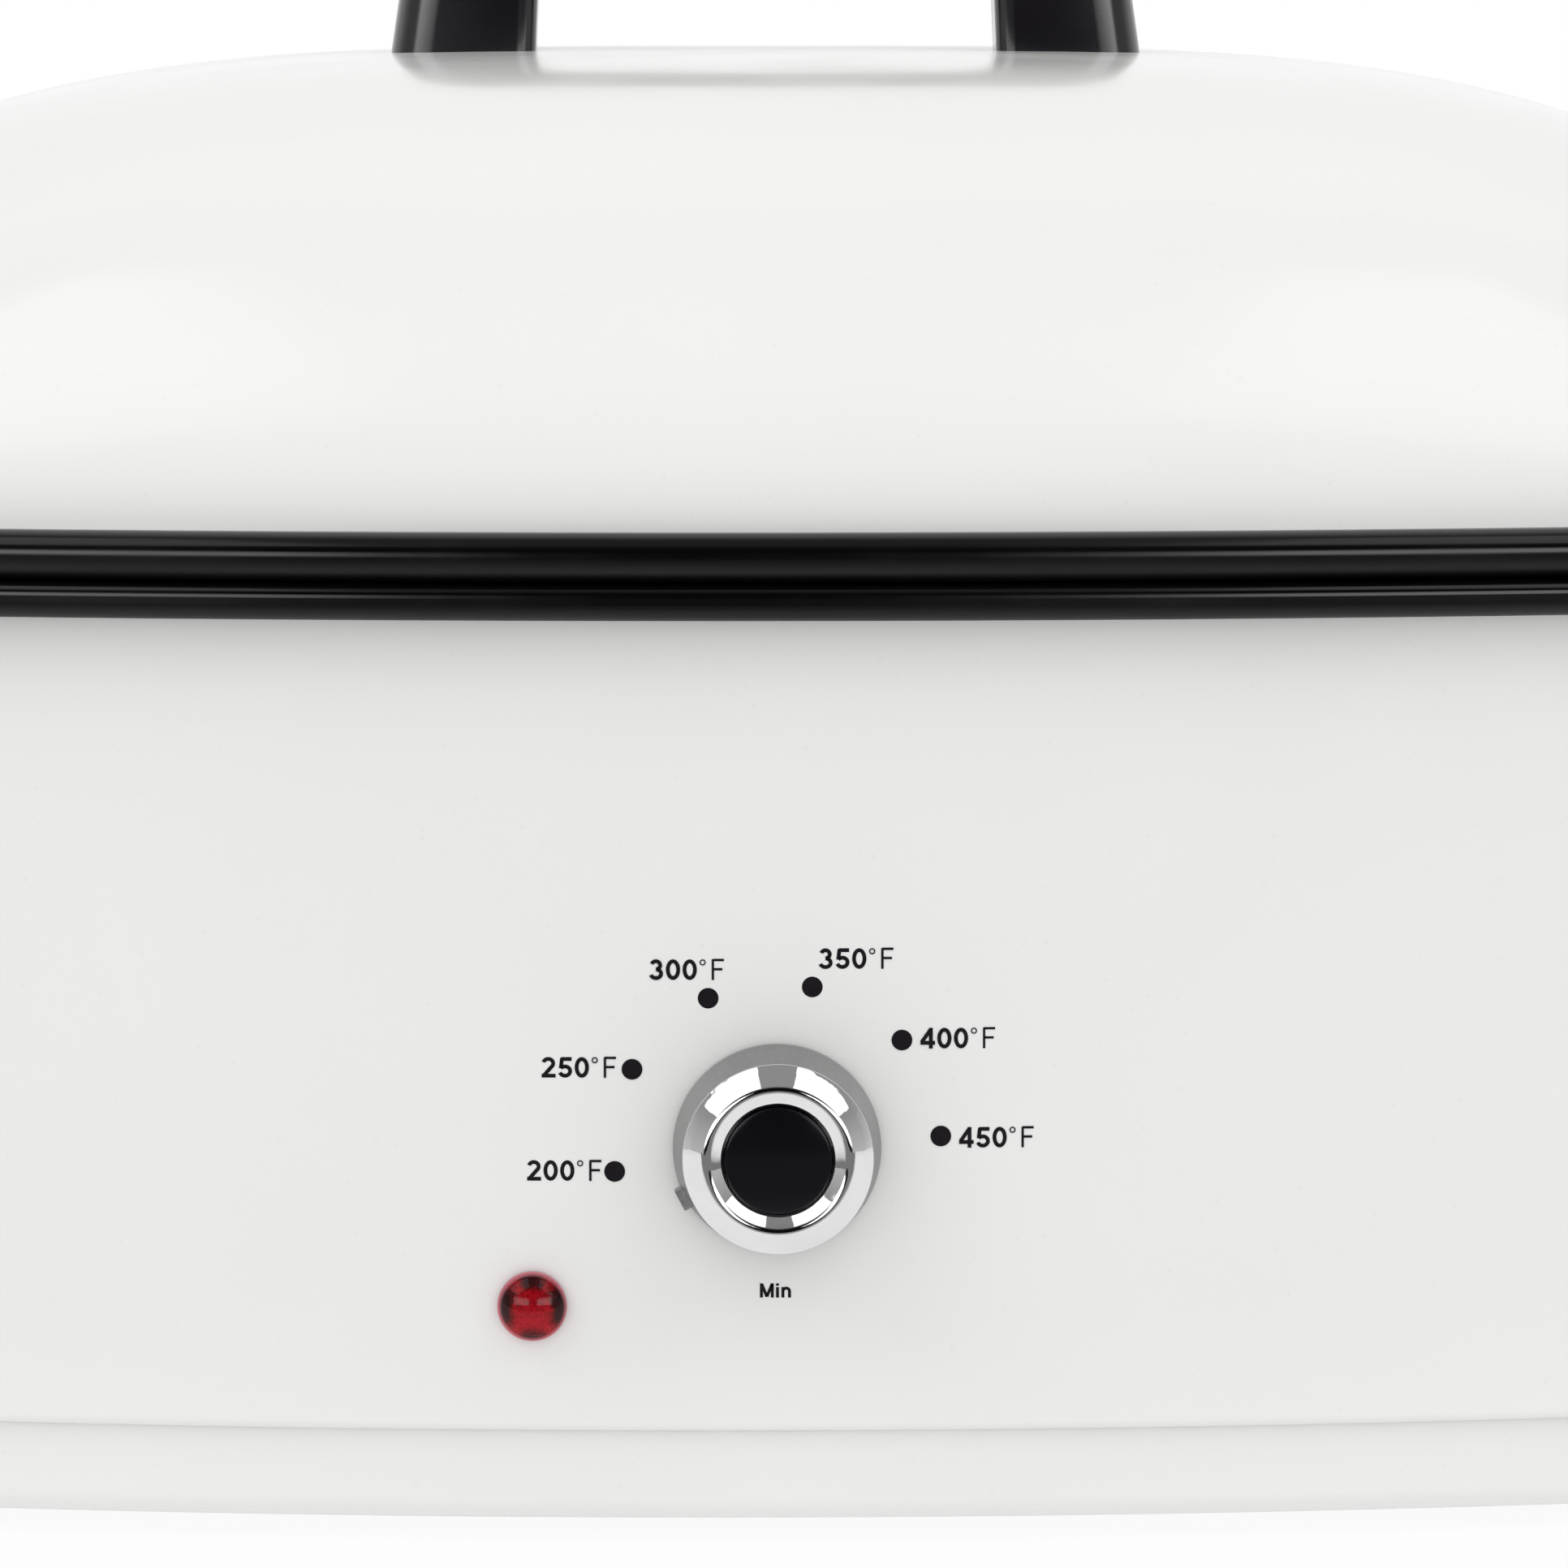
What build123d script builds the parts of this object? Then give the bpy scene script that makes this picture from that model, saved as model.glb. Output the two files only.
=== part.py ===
from build123d import *
import math
import os

# Countertop electric roaster oven, in millimetres. +Z is up, the knob side faces -Y,
# and the origin is on the table under the middle of the body.

# ------------------------------------------------------------------ clearances
SEAT = 0.3            # between a piece and the curved or loose seat that carries it
FREE = 0.1            # round a screw or a plug in its hole
RUNNING = 0.05        # round a shaft that turns in its hole

# ------------------------------------------------------------------ plan of the body
RIM_LENGTH = 500      # over the rolled rim, end to end
RIM_DEPTH = 396       # over the rolled rim, front to back
SIDE_RADIUS = 900     # bow of the front and the back
END_RADIUS = 480      # bow of the two ends
CORNER_RADIUS = 110

# how far each wall stands inside the outline of the rim
SHELL_INSET = 9.5     # outer face of the shell
LINER_INSET = 30      # inner face of the liner
COOKWELL_INSET = 34   # inner face of the cookwell at its mouth
LID_INSET = 11        # outer face of the lid at its edge
TRIM_INSET = 0.5      # outer face of the trim ring
FLANGE_INSET = 2.2    # edge of the flanges that the trim ring clasps

# ------------------------------------------------------------------ heights
FOOT_HEIGHT = 4       # under the base pan
BASE_BAND = 17        # base pan seen below the shell
TRIM_TOP = 177.2
TRIM_HEIGHT = 6.7
COOKWELL_DEPTH = 145
LID_RISE = 86.3       # from the lid's edge to its crown

# ------------------------------------------------------------------ sheet thicknesses
SHELL_SHEET = 0.8
BODY_SEAM = 0.2           # between the front and back halves of the body, under the side handles
BASE_SHEET = 0.8
LINER_SHEET = 0.6
TRIM_SHEET = 1.0
COOKWELL_SHEET = 1.0
LID_SHEET = 0.9
BRACKET_SHEET = 1.2
REFLECTOR_SHEET = 0.5

# ------------------------------------------------------------------ rim and bends
ROLL_RADIUS = 4.5     # rolled edge of the cookwell
ROLL_TURN = 300       # degrees that the edge is rolled round
GUTTER = 1.0          # from the middle of the roll down to the shelf inside it
SHELF_BEND = 6        # where the shelf turns down into the wall
WALL_DRAFT = 3.5      # degrees
COOKWELL_CORNER = 22
LINER_CORNER = 15
LINER_TOP_BEND = 3
BASE_CORNER = 4
BASE_LAP = 11         # base pan wall hidden inside the shell
TRIM_TOP_BEND = 2.5
TRIM_LOW_BEND = 3
TRIM_SHELF = 26       # width of the trim ring's top under the cookwell
HEM_BEND = 1.3
HEM_WIDTH = 5.7
SHELL_TOP_BEND = 2
SHELL_LIP_BEND = 1.0
BASE_STEP = 2.5       # the base pan's wall behind the face of the shell
FLOOR_GAP = 5         # cookwell to liner, at the floor

# ------------------------------------------------------------------ lid
DOME_SQUARENESS = 4.2     # how long the dome stays level before it turns down
DOME_SHOULDER = 0.74      # how sharply it turns down
DOME_STEPS = (0, 8, 16, 26, 36, 46, 56, 66, 76, 84, 88)   # degrees round the shoulder
BEAD_RADIUS = 2           # rolled edge of the lid
BEAD_PROUD = 0.3          # bead beyond the lid's wall
LID_HANDLE_LENGTH = 150   # over the feet of the posts
LID_HANDLE_OPENING = 92
LID_HANDLE_HEIGHT = 40
LID_HANDLE_CROWN = 3      # rise of the bar's middle over its ends
LID_HANDLE_BAR = 14
LID_HANDLE_DEPTH = 26
LID_HANDLE_LEAN = 5.5     # each post leans in by this much
LID_HANDLE_EDGE = 6
LID_HANDLE_SHOULDER = 17
LID_SCREW_SPACING = 120
LID_SCREW_RADIUS = 2.5
LID_SCREW_REACH = 18
LID_WASHER_RADIUS = 8
LID_WASHER_SHEET = 1.2

# ------------------------------------------------------------------ knob and lamp
KNOB_HEIGHT = 73.8
KNOB_GAP = 1.0            # skirt to shell
SKIRT_RADIUS = 19
SKIRT_EDGE = 1.8          # straight part of the skirt
SKIRT_NECK = 16.6         # radius under the ring
SKIRT_LENGTH = 12.2
SKIRT_WALL = 1.8
HUB_RADIUS = 5.5
RING_RADIUS = 17.3
RING_CREST = 13.1         # radius of the ring's front edge
RING_LENGTH = 7.6
RING_CREST_BEND = 0.6
CAP_RADIUS = 9.7
CAP_LENGTH = 3.2
CAP_CROWN = 0.6
POINTER_ANGLE = 208       # degrees, seen from the front, anticlockwise from the right
POINTER_WIDTH = 4
POINTER_PROUD = 1.1
SHAFT_RADIUS = 3
SHAFT_FLAT = 2.2          # axis to the flat of the shaft
SHAFT_GRIP = 10           # shaft inside the knob
BEARING_DEPTH = 6         # shaft inside the thermostat
LAMP_SIDE = -44.7
LAMP_HEIGHT = 44.4
LENS_RADIUS = 6.35
LENS_COLLAR = 1.4
LENS_DOME = 3.6
LENS_BARREL = 5.4
LENS_LENGTH = 12
LENS_WALL = 1.6
NEON_RADIUS = 3
NEON_LENGTH = 11
PUSH_NUT_RADIUS = 9
PUSH_NUT_SHEET = 0.5

# ------------------------------------------------------------------ thermostat and heating
PLATE_LENGTH = 40
PLATE_WIDTH = 22
PLATE_SHEET = 1.0
PLATE_SCREW_SPACING = 24
PLATE_SCREW_RADIUS = 1.75
PLATE_SCREW_HEAD = 3
PLATE_SCREW_HEAD_LENGTH = 1.2
THERMOSTAT_LENGTH = 34
THERMOSTAT_HEIGHT = 30
THERMOSTAT_DEPTH = 11
TAB_WIDTH = 6.3
TAB_SHEET = 0.8
TAB_LENGTH = 8
TAB_SIDE = 9              # tabs left and right of the axis
BAND_TOP = 125
BAND_HEIGHT = 30
BAND_SHEET = 2.5
BAND_GAP = 24             # between the clamped ends, at the back
EAR_SHEET = 1.5
EAR_HEIGHT = 18
EAR_REACH = 13
POST_SIDE = 40            # heater terminals left and right of the gap
POST_RADIUS = 2.5
POST_LENGTH = 8
CLAMP_RADIUS = 2
CLAMP_HEAD = 3.5
BLANKET = 11              # thickness of the insulation
BLANKET_FRONT_GAP = 190   # left free for the controls
BLANKET_BACK_GAP = 120    # left free for the clamp and the cord entry
BULB_RADIUS = 2.4
BULB_LENGTH = 60
BULB_START = 28
BULB_HEIGHT = 142
CAPILLARY_RADIUS = 0.8
CAPILLARY_SIDE = 10
CLIP_WIDTH = 8
CLIP_SHEET = 0.6
CLIP_FOOT = 5

# ------------------------------------------------------------------ underside
FOOT_SIDE = 165           # feet left and right of the middle
FOOT_FRONT = 110          # feet before and behind it
FOOT_RADIUS = 12
FOOT_SCREW_RADIUS = 2
FOOT_SCREW_HEAD = 4
FOOT_SCREW_HEAD_LENGTH = 1.4
FOOT_WEB = 1.5            # rubber under the pan above the screw's head
BRACKET_LENGTH = 20
BRACKET_WIDTH = 16
REFLECTOR_INSET = 100
REFLECTOR_DEPTH = 11.4
REFLECTOR_BEND = 2
BLOCK_SIDE = 60
BLOCK_BACK = RIM_DEPTH / 2 - 63
BLOCK_LENGTH = 36
BLOCK_WIDTH = 16
BLOCK_HEIGHT = 13
BLOCK_SCREW_RADIUS = 2.2
BLOCK_WAYS = 3
GLAND_HEIGHT = 50
GLAND_BORE = 4.25
GLAND_BARREL = 8
GLAND_FLANGE = 11
GLAND_FLANGE_LENGTH = 2
GLAND_NOSE = 15
GLAND_TIP = 6.4
GLAND_TAIL = 9
LOCKNUT_RADIUS = 12
LOCKNUT_LENGTH = 3.5
LEAD_RADIUS = 1.5
LEAD_BEND = 14
LEAD_RUN = 58             # straight run of a lead before it turns up
LEAD_HEIGHT = 9.5         # leads under the reflector
LEAD_INSET = 20           # leads between shell and liner

# ------------------------------------------------------------------ side handles
HANDLE_REACH = 45         # beyond the rim
HANDLE_LENGTH = 136
HANDLE_OPENING = 92
HANDLE_BAR = 20
HANDLE_THICK = 18
HANDLE_HEIGHT = 150
HANDLE_CORNER = 34
HANDLE_INNER_CORNER = 14
HANDLE_EDGE = 6
PAD_LENGTH = 30
PAD_HEIGHT = 28
PAD_THICK = 4
PAD_EDGE = 2.5
HANDLE_SCREW_SPACING = 114
HANDLE_SCREW_RADIUS = 2.5
HANDLE_SCREW_HEAD = 4.5
HANDLE_SCREW_HEAD_LENGTH = 2.2
HANDLE_SCREW_REACH = 16

# ------------------------------------------------------------------ rack
RACK_INSET = 52           # centre line of the outer wire
RACK_WIRE = 2.0           # radius of the outer wire
RACK_BAR = 1.5            # radius of the cross wires
RACK_BARS = 15
RACK_PITCH = 24
RACK_WELD = 0.1           # between crossing wires, where they are welded
RACK_LIFT = 12            # outer wire above the cookwell's floor
RUNNER_SIDE = 120
RUNNER_END = 22           # from the outer wire to the runner's dip
RACK_HANDLE_WIDTH = 80
RACK_HANDLE_RISE = 72
RACK_HANDLE_BEND = 14

# ------------------------------------------------------------------ heights that follow
BASE_BOTTOM = FOOT_HEIGHT
BASE_FLOOR = BASE_BOTTOM + BASE_SHEET
SHELL_BOTTOM = BASE_BOTTOM + BASE_BAND
TRIM_BOTTOM = TRIM_TOP - TRIM_HEIGHT
LINER_FLANGE = TRIM_TOP - TRIM_SHEET - SEAT           # top of the liner's flange
SHELL_FLANGE = LINER_FLANGE - LINER_SHEET - SEAT      # top of the shell's flange
HEM_TOP = SHELL_FLANGE - SHELL_SHEET - SEAT
ROLL_MIDDLE = TRIM_TOP + SEAT + ROLL_RADIUS
SHELF = ROLL_MIDDLE - GUTTER                          # the lid rests on this shelf
COOKWELL_FLOOR = SHELF - COOKWELL_DEPTH
RACK_LEVEL = COOKWELL_FLOOR + RACK_LIFT               # middle of the rack's outer wire
LINER_FLOOR = COOKWELL_FLOOR - COOKWELL_SHEET - FLOOR_GAP
LINER_UNDERSIDE = LINER_FLOOR - LINER_SHEET
LID_EDGE = SHELF + SEAT + BEAD_RADIUS
CROWN = LID_EDGE + LID_RISE
LINER_BACK = LINER_INSET - LINER_SHEET                # outer face of the liner
SHELL_BACK = SHELL_INSET + SHELL_SHEET                # inner face of the shell
WALL_FOOT_INSET = COOKWELL_INSET + COOKWELL_DEPTH * math.tan(math.radians(WALL_DRAFT))


# ================================================================== plan outline
def outline_arcs(inset=0, scale=1):
    """The eight arcs of the outline as (centre, radius, start angle, sweep), anticlockwise."""
    end_x = RIM_LENGTH / 2 - END_RADIUS
    side_y = RIM_DEPTH / 2 - SIDE_RADIUS
    to_side, to_end = SIDE_RADIUS - CORNER_RADIUS, END_RADIUS - CORNER_RADIUS
    apart = math.hypot(end_x, side_y)
    along = (to_end**2 - to_side**2 + apart**2) / (2 * apart)
    aside = math.sqrt(to_end**2 - along**2)
    unit_x, unit_y = -end_x / apart, side_y / apart
    corner_x = end_x + unit_x * along - unit_y * aside
    corner_y = unit_y * along + unit_x * aside
    low = math.degrees(math.atan2(corner_y, corner_x - end_x))
    high = math.degrees(math.atan2(corner_y - side_y, corner_x))
    arcs = []
    for turn, sign in ((0, 1), (180, -1)):
        arcs.append(((sign * end_x, 0), END_RADIUS, turn - low, 2 * low))
        arcs.append(((sign * corner_x, sign * corner_y), CORNER_RADIUS, turn + low, high - low))
        arcs.append(((0, sign * side_y), SIDE_RADIUS, turn + high, 180 - 2 * high))
        arcs.append(((-sign * corner_x, sign * corner_y), CORNER_RADIUS, turn + 180 - high, high - low))
    return [((x * scale, y * scale), (r - inset) * scale, start, sweep) for (x, y), r, start, sweep in arcs]


def outline(inset=0, scale=1):
    """Closed wire of the outline, moved in by `inset` and then scaled about the middle."""
    return Wire([CenterArc(*arc).edge() for arc in outline_arcs(inset, scale)])


def slab(inset, bottom, top):
    """Solid with the outline's shape between two heights."""
    return Pos(0, 0, bottom) * extrude(make_face(outline(inset)), top - bottom)


def ring(section):
    """Carry a section round the outline. In the section, x is minus the inset and y is the height."""
    (centre_x, centre_y), radius, start, _ = outline_arcs()[0]
    out_x, out_y = math.cos(math.radians(start)), math.sin(math.radians(start))
    corner = (centre_x + radius * out_x, centre_y + radius * out_y, 0)
    return sweep(Plane(corner, x_dir=(out_x, out_y, 0), z_dir=(out_y, -out_x, 0)) * section, path=outline())


def band(inset, thickness, bottom, height):
    """Ring of rectangular section whose outer face stands at `inset`."""
    return ring(Pos(-inset - thickness / 2, bottom + height / 2) * Rectangle(thickness, height))


def bent(points, bends):
    """Bent line through (inset, height) points, with one bend radius for each inner point."""
    return FilletPolyline(*[(-inset, height) for inset, height in points], radius=bends)


def sheet(line, thickness, side):
    """Section of a bent sheet whose metal lies on one side of the line."""
    return make_face(offset(line, thickness, side=side))


def front_plane(x, z, inset=SHELL_INSET):
    """Plane on the front wall, z outwards, x to the right, y up."""
    lean = math.asin(x / (SIDE_RADIUS - inset))
    y = SIDE_RADIUS - RIM_DEPTH / 2 - (SIDE_RADIUS - inset) * math.cos(lean)
    along = (math.cos(lean), math.sin(lean), 0)
    return Plane((x, y, z), x_dir=along, z_dir=(along[1], -along[0], 0))


def end_plane(side, y, z, inset=SHELL_INSET):
    """Plane on the left (-1) or right (1) end wall, z outwards, y up."""
    lean = math.asin(y / (END_RADIUS - inset))
    x = side * (RIM_LENGTH / 2 - END_RADIUS + (END_RADIUS - inset) * math.cos(lean))
    out = (side * math.cos(lean), math.sin(lean), 0)
    return Plane((x, y, z), x_dir=(-side * out[1], side * out[0], 0), z_dir=out)


def front_y(x, inset):
    """Where a front surface at this inset lies, at x."""
    return front_plane(x, 0, inset).origin.Y


# ================================================================== small shapes
def turned(*points):
    """Solid turned about Z from (radius, height) points."""
    return revolve(Plane.XZ * make_face(Polyline(*points, close=True)), axis=Axis.Z)


def rod(radius, bottom, top):
    """Cylinder about Z between two heights."""
    return Pos(0, 0, bottom) * Cylinder(radius, top - bottom, align=(Align.CENTER, Align.CENTER, Align.MIN))


def block(length, width, bottom, top):
    """Box about Z between two heights."""
    return Pos(0, 0, (bottom + top) / 2) * Box(length, width, top - bottom)


def tube(points, bends, radius):
    """Round wire along straight runs joined by arcs."""
    line = FilletPolyline(*points, radius=bends)
    start = Plane(line @ 0, z_dir=line % 0)
    return sweep(start * Circle(radius), path=line)


def screw(radius, head_radius, head_length, length):
    """Pan-head screw along +Z, its seat at z = 0."""
    head = rod(head_radius, -head_length, 0)
    rim = head.edges().group_by(Axis.Z)[0]
    head = fillet(rim, head_length * 0.45)
    slot = block(head_radius * 1.3, radius * 0.35, -head_length, -head_length * 0.55)
    return head + rod(radius, 0, length) - slot


def crown_arc(radius, base, rise):
    """Half of a shallow crown's section, from its edge to the axis, round a centre on the axis."""
    sphere = (radius**2 + rise**2) / (2 * rise)
    edge_angle = math.degrees(math.acos(radius / sphere))
    return CenterArc((0, base + rise - sphere), sphere, edge_angle, 90 - edge_angle)


def d_rod(radius, flat, bottom, top):
    """Rod with one flat, at `flat` from its axis on the +Y side."""
    return rod(radius, bottom, top) & Pos(0, flat - radius) * block(2 * radius, 2 * radius, bottom, top)


# ================================================================== shell, base, trim, liner
def body_wrap():
    """Outer wall all round, with a flange on top and a lip turned in at the bottom."""
    lip_end = SHELL_INSET + BASE_STEP - SEAT
    lip = SHELL_BOTTOM + SHELL_SHEET
    points = [(FLANGE_INSET, SHELL_FLANGE), (SHELL_BACK, SHELL_FLANGE), (SHELL_BACK, lip), (lip_end, lip)]
    line = bent(points, [SHELL_TOP_BEND, SHELL_LIP_BEND])
    wall = ring(sheet(line, SHELL_SHEET, Side.LEFT))
    knob, lamp = front_plane(0, KNOB_HEIGHT), front_plane(LAMP_SIDE, LAMP_HEIGHT)
    drill = SHELL_SHEET * 4
    wall -= knob * rod(SHAFT_RADIUS + 2 * SEAT, -drill, drill)
    for side in (-1, 1):
        wall -= knob * Pos(side * PLATE_SCREW_SPACING / 2, 0) * rod(PLATE_SCREW_RADIUS + FREE, -drill, drill)
    wall -= lamp * rod(LENS_BARREL + FREE, -drill, drill)
    wall -= gland_plane() * rod(GLAND_BARREL + FREE, -drill, drill)
    for plane in handle_screw_planes():
        wall -= plane * rod(HANDLE_SCREW_RADIUS + FREE, -drill, drill)
    return wall


def body_half(wrap, side):
    """Front or back half of the outer wall; the two meet in a seam under each side handle."""
    half = Pos(0, side * (RIM_DEPTH + BODY_SEAM) / 2, RIM_DEPTH / 2) * Box(2 * RIM_LENGTH, RIM_DEPTH, RIM_DEPTH)
    return wrap & half


def base_pan():
    """Shallow pan that closes the underside and stands inside the shell's lower lip."""
    wall_inset = SHELL_INSET + BASE_STEP
    floor_inset = wall_inset + BASE_CORNER + 2
    wall_top = SHELL_BOTTOM + BASE_LAP
    points = [(floor_inset, BASE_BOTTOM), (wall_inset, BASE_BOTTOM), (wall_inset, wall_top)]
    line = bent(points, [BASE_CORNER])
    pan = ring(sheet(line, BASE_SHEET, Side.LEFT)) + slab(floor_inset, BASE_BOTTOM, BASE_FLOOR)
    for place in foot_places():
        pan -= place * rod(FOOT_SCREW_RADIUS + FREE, 0, 2 * FOOT_HEIGHT)
    for place in block_screw_places():
        pan -= place * rod(BLOCK_SCREW_RADIUS + FREE, 0, 2 * FOOT_HEIGHT)
    return pan


def rim_trim():
    """Channel round the rim that clasps the flanges of shell and liner, hemmed at its lower edge."""
    hem_edge = SHELL_INSET - SEAT
    line = bent(
        [(TRIM_INSET + TRIM_SHELF, TRIM_TOP), (TRIM_INSET, TRIM_TOP), (TRIM_INSET, TRIM_BOTTOM),
         (hem_edge, TRIM_BOTTOM), (hem_edge, HEM_TOP), (hem_edge - HEM_WIDTH, HEM_TOP)],
        [TRIM_TOP_BEND, TRIM_LOW_BEND, HEM_BEND, HEM_BEND])
    return ring(sheet(line, TRIM_SHEET, Side.RIGHT))


def liner_well():
    """Heated well that the cookwell hangs in."""
    floor_inset = LINER_INSET + LINER_CORNER + 2
    line = bent([(floor_inset, LINER_FLOOR), (LINER_INSET, LINER_FLOOR), (LINER_INSET, LINER_FLANGE),
                 (FLANGE_INSET, LINER_FLANGE)], [LINER_CORNER, LINER_TOP_BEND])
    return ring(sheet(line, LINER_SHEET, Side.RIGHT)) + slab(floor_inset, LINER_UNDERSIDE, LINER_FLOOR)


# ================================================================== cookwell and rack
def cookwell():
    """Enamelled well with a shelf for the lid and a rolled edge."""
    floor_inset = WALL_FOOT_INSET + COOKWELL_CORNER + 2
    gutter_wall = 2 * ROLL_RADIUS
    line = bent([(floor_inset, COOKWELL_FLOOR), (WALL_FOOT_INSET, COOKWELL_FLOOR), (COOKWELL_INSET, SHELF),
                 (gutter_wall, SHELF), (gutter_wall, ROLL_MIDDLE)],
                [COOKWELL_CORNER, SHELF_BEND, GUTTER * 0.9])
    roll = CenterArc((-ROLL_RADIUS, ROLL_MIDDLE), ROLL_RADIUS, 180, -ROLL_TURN)
    wall = ring(sheet(Wire([*line.edges(), roll.edge()]), COOKWELL_SHEET, Side.RIGHT))
    return wall + slab(floor_inset, COOKWELL_FLOOR - COOKWELL_SHEET, COOKWELL_FLOOR)


def rack_ring():
    """Outer wire of the roasting rack."""
    return ring(Pos(-RACK_INSET, RACK_LEVEL) * Circle(RACK_WIRE))


def rack_bars():
    """Cross wires that lie on the rack's outer wire."""
    bars = []
    bar_level = RACK_LEVEL + RACK_WIRE + RACK_BAR + RACK_WELD
    for i in range(RACK_BARS):
        x = (i - (RACK_BARS - 1) / 2) * RACK_PITCH
        reach = -front_y(x, RACK_INSET)
        bars.append(Pos(x, 0, bar_level) * Rot(90, 0, 0) * Cylinder(RACK_BAR, 2 * reach))
    return bars


def rack_runners():
    """Wires under the rack's outer wire that dip to stand on the cookwell's floor."""
    runners = []
    floor_level = COOKWELL_FLOOR + SEAT + RACK_BAR
    runner_level = RACK_LEVEL - RACK_WIRE - RACK_BAR - RACK_WELD
    for x in (-RUNNER_SIDE, RUNNER_SIDE):
        end = -front_y(x, RACK_INSET)
        dip = end - RUNNER_END
        low = dip - (runner_level - floor_level)
        path = [(x, -end, runner_level), (x, -dip, runner_level), (x, -low, floor_level),
                (x, low, floor_level), (x, dip, runner_level), (x, end, runner_level)]
        runners.append(tube(path, 2.5 * RACK_BAR, RACK_BAR))
    return runners


def rack_handle(side):
    """Lifting handle of bent wire, its legs seated against the inside of the outer wire."""
    foot, top, half = RACK_LEVEL - RACK_WIRE / 2, RACK_LEVEL + RACK_HANDLE_RISE, RACK_HANDLE_WIDTH / 2
    x = end_plane(side, half, RACK_LEVEL, RACK_INSET + 2 * RACK_WIRE + RACK_WELD).origin.X
    points = [(x, -half, foot), (x, -half, top), (x, half, top), (x, half, foot)]
    return tube(points, RACK_HANDLE_BEND, RACK_WIRE)


# ================================================================== lid
def dome(inset, rise):
    """Solid under the lid's surface, from the lid's edge up to the crown."""
    sections = []
    for step in DOME_STEPS:
        angle = math.radians(step)
        scale = math.cos(angle) ** (2 / DOME_SQUARENESS)
        height = rise * math.sin(angle) ** (2 * DOME_SHOULDER)
        sections.append(Pos(0, 0, LID_EDGE + height) * make_face(outline(inset, scale)))
    return loft(sections)


def lid_shell():
    """Domed lid with a beaded edge."""
    shell = dome(LID_INSET, LID_RISE) - dome(LID_INSET + LID_SHEET, LID_RISE - LID_SHEET)
    shell += ring(Pos(BEAD_PROUD - LID_INSET - BEAD_RADIUS, LID_EDGE) * Circle(BEAD_RADIUS))
    for place in lid_screw_places():
        shell -= place * rod(LID_SCREW_RADIUS + FREE, -LID_RISE / 4, LID_RISE / 4)
    return shell


def lid_screw_places():
    """Screw axes of the lid's handle, at the height of the crown."""
    return [Pos(side * LID_SCREW_SPACING / 2, 0, CROWN) for side in (-1, 1)]


def lid_handle():
    """Arched handle on two posts."""
    half, inner, top = LID_HANDLE_LENGTH / 2, LID_HANDLE_OPENING / 2, LID_HANDLE_HEIGHT
    end_top = top - LID_HANDLE_CROWN
    shoulder = half - LID_HANDLE_LEAN
    under_end, under_top = end_top - LID_HANDLE_BAR, top - LID_HANDLE_BAR
    sunk = LID_HANDLE_EDGE
    outside = [Line((-half, 0), (-shoulder, end_top)),
               ThreePointArc((-shoulder, end_top), (0, top), (shoulder, end_top)),
               Line((shoulder, end_top), (half, 0))]
    inside = [Line((half, 0), (half, -sunk)), Line((half, -sunk), (inner, -sunk)),
              Line((inner, -sunk), (inner - 1, under_end)),
              ThreePointArc((inner - 1, under_end), (0, under_top), (1 - inner, under_end)),
              Line((1 - inner, under_end), (-inner, -sunk)), Line((-inner, -sunk), (-half, -sunk)),
              Line((-half, -sunk), (-half, 0))]
    face = make_face(outside + inside)
    upper = face.vertices().filter_by_position(Axis.Y, under_end - 0.1, top + 0.1)
    shoulders = [v for v in upper if abs(v.X) > inner]
    armpits = [v for v in upper if abs(v.X) < inner]
    face = fillet(shoulders, LID_HANDLE_SHOULDER)
    face = fillet([v for v in face.vertices() if any((v - a).center().length < 0.01 for a in armpits)],
                  LID_HANDLE_BAR * 0.7)
    bar = Plane.XZ * extrude(face, LID_HANDLE_DEPTH / 2, both=True)
    rims = bar.edges().group_by(Axis.Y)[0] + bar.edges().group_by(Axis.Y)[-1]
    bar = fillet([e for e in rims if e.center().Z > -sunk + SEAT], LID_HANDLE_EDGE)
    bar = Pos(0, 0, CROWN + SEAT) * bar - dome(LID_INSET, LID_RISE + SEAT)
    for place in lid_screw_places():
        bar -= place * rod(LID_SCREW_RADIUS + FREE, 0, LID_SCREW_REACH + SEAT)
    return bar


def lid_handle_screws():
    """Screws that come up through the lid into the posts."""
    seat = -LID_SHEET - 2 * SEAT - LID_WASHER_SHEET
    reach = LID_SCREW_REACH - seat - SEAT
    one = screw(LID_SCREW_RADIUS, LID_SCREW_RADIUS * 1.9, LID_SCREW_RADIUS * 1.1, reach)
    return [place * Pos(0, 0, seat) * one for place in lid_screw_places()]


def lid_handle_washers():
    """Washers under the heads of those screws."""
    top = -LID_SHEET - 2 * SEAT
    one = rod(LID_WASHER_RADIUS, top - LID_WASHER_SHEET, top)
    one -= rod(LID_SCREW_RADIUS + FREE, top - LID_WASHER_SHEET, top)
    return [place * one for place in lid_screw_places()]


# ================================================================== knob
def knob_plane():
    """Plane on the shell at the knob's axis, z outwards."""
    return front_plane(0, KNOB_HEIGHT)


SKIRT_TOP = KNOB_GAP + SKIRT_LENGTH
RECESS_TOP = KNOB_GAP + SKIRT_EDGE + SKIRT_WALL
SHAFT_TOP = KNOB_GAP + SKIRT_WALL + SHAFT_GRIP


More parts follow.
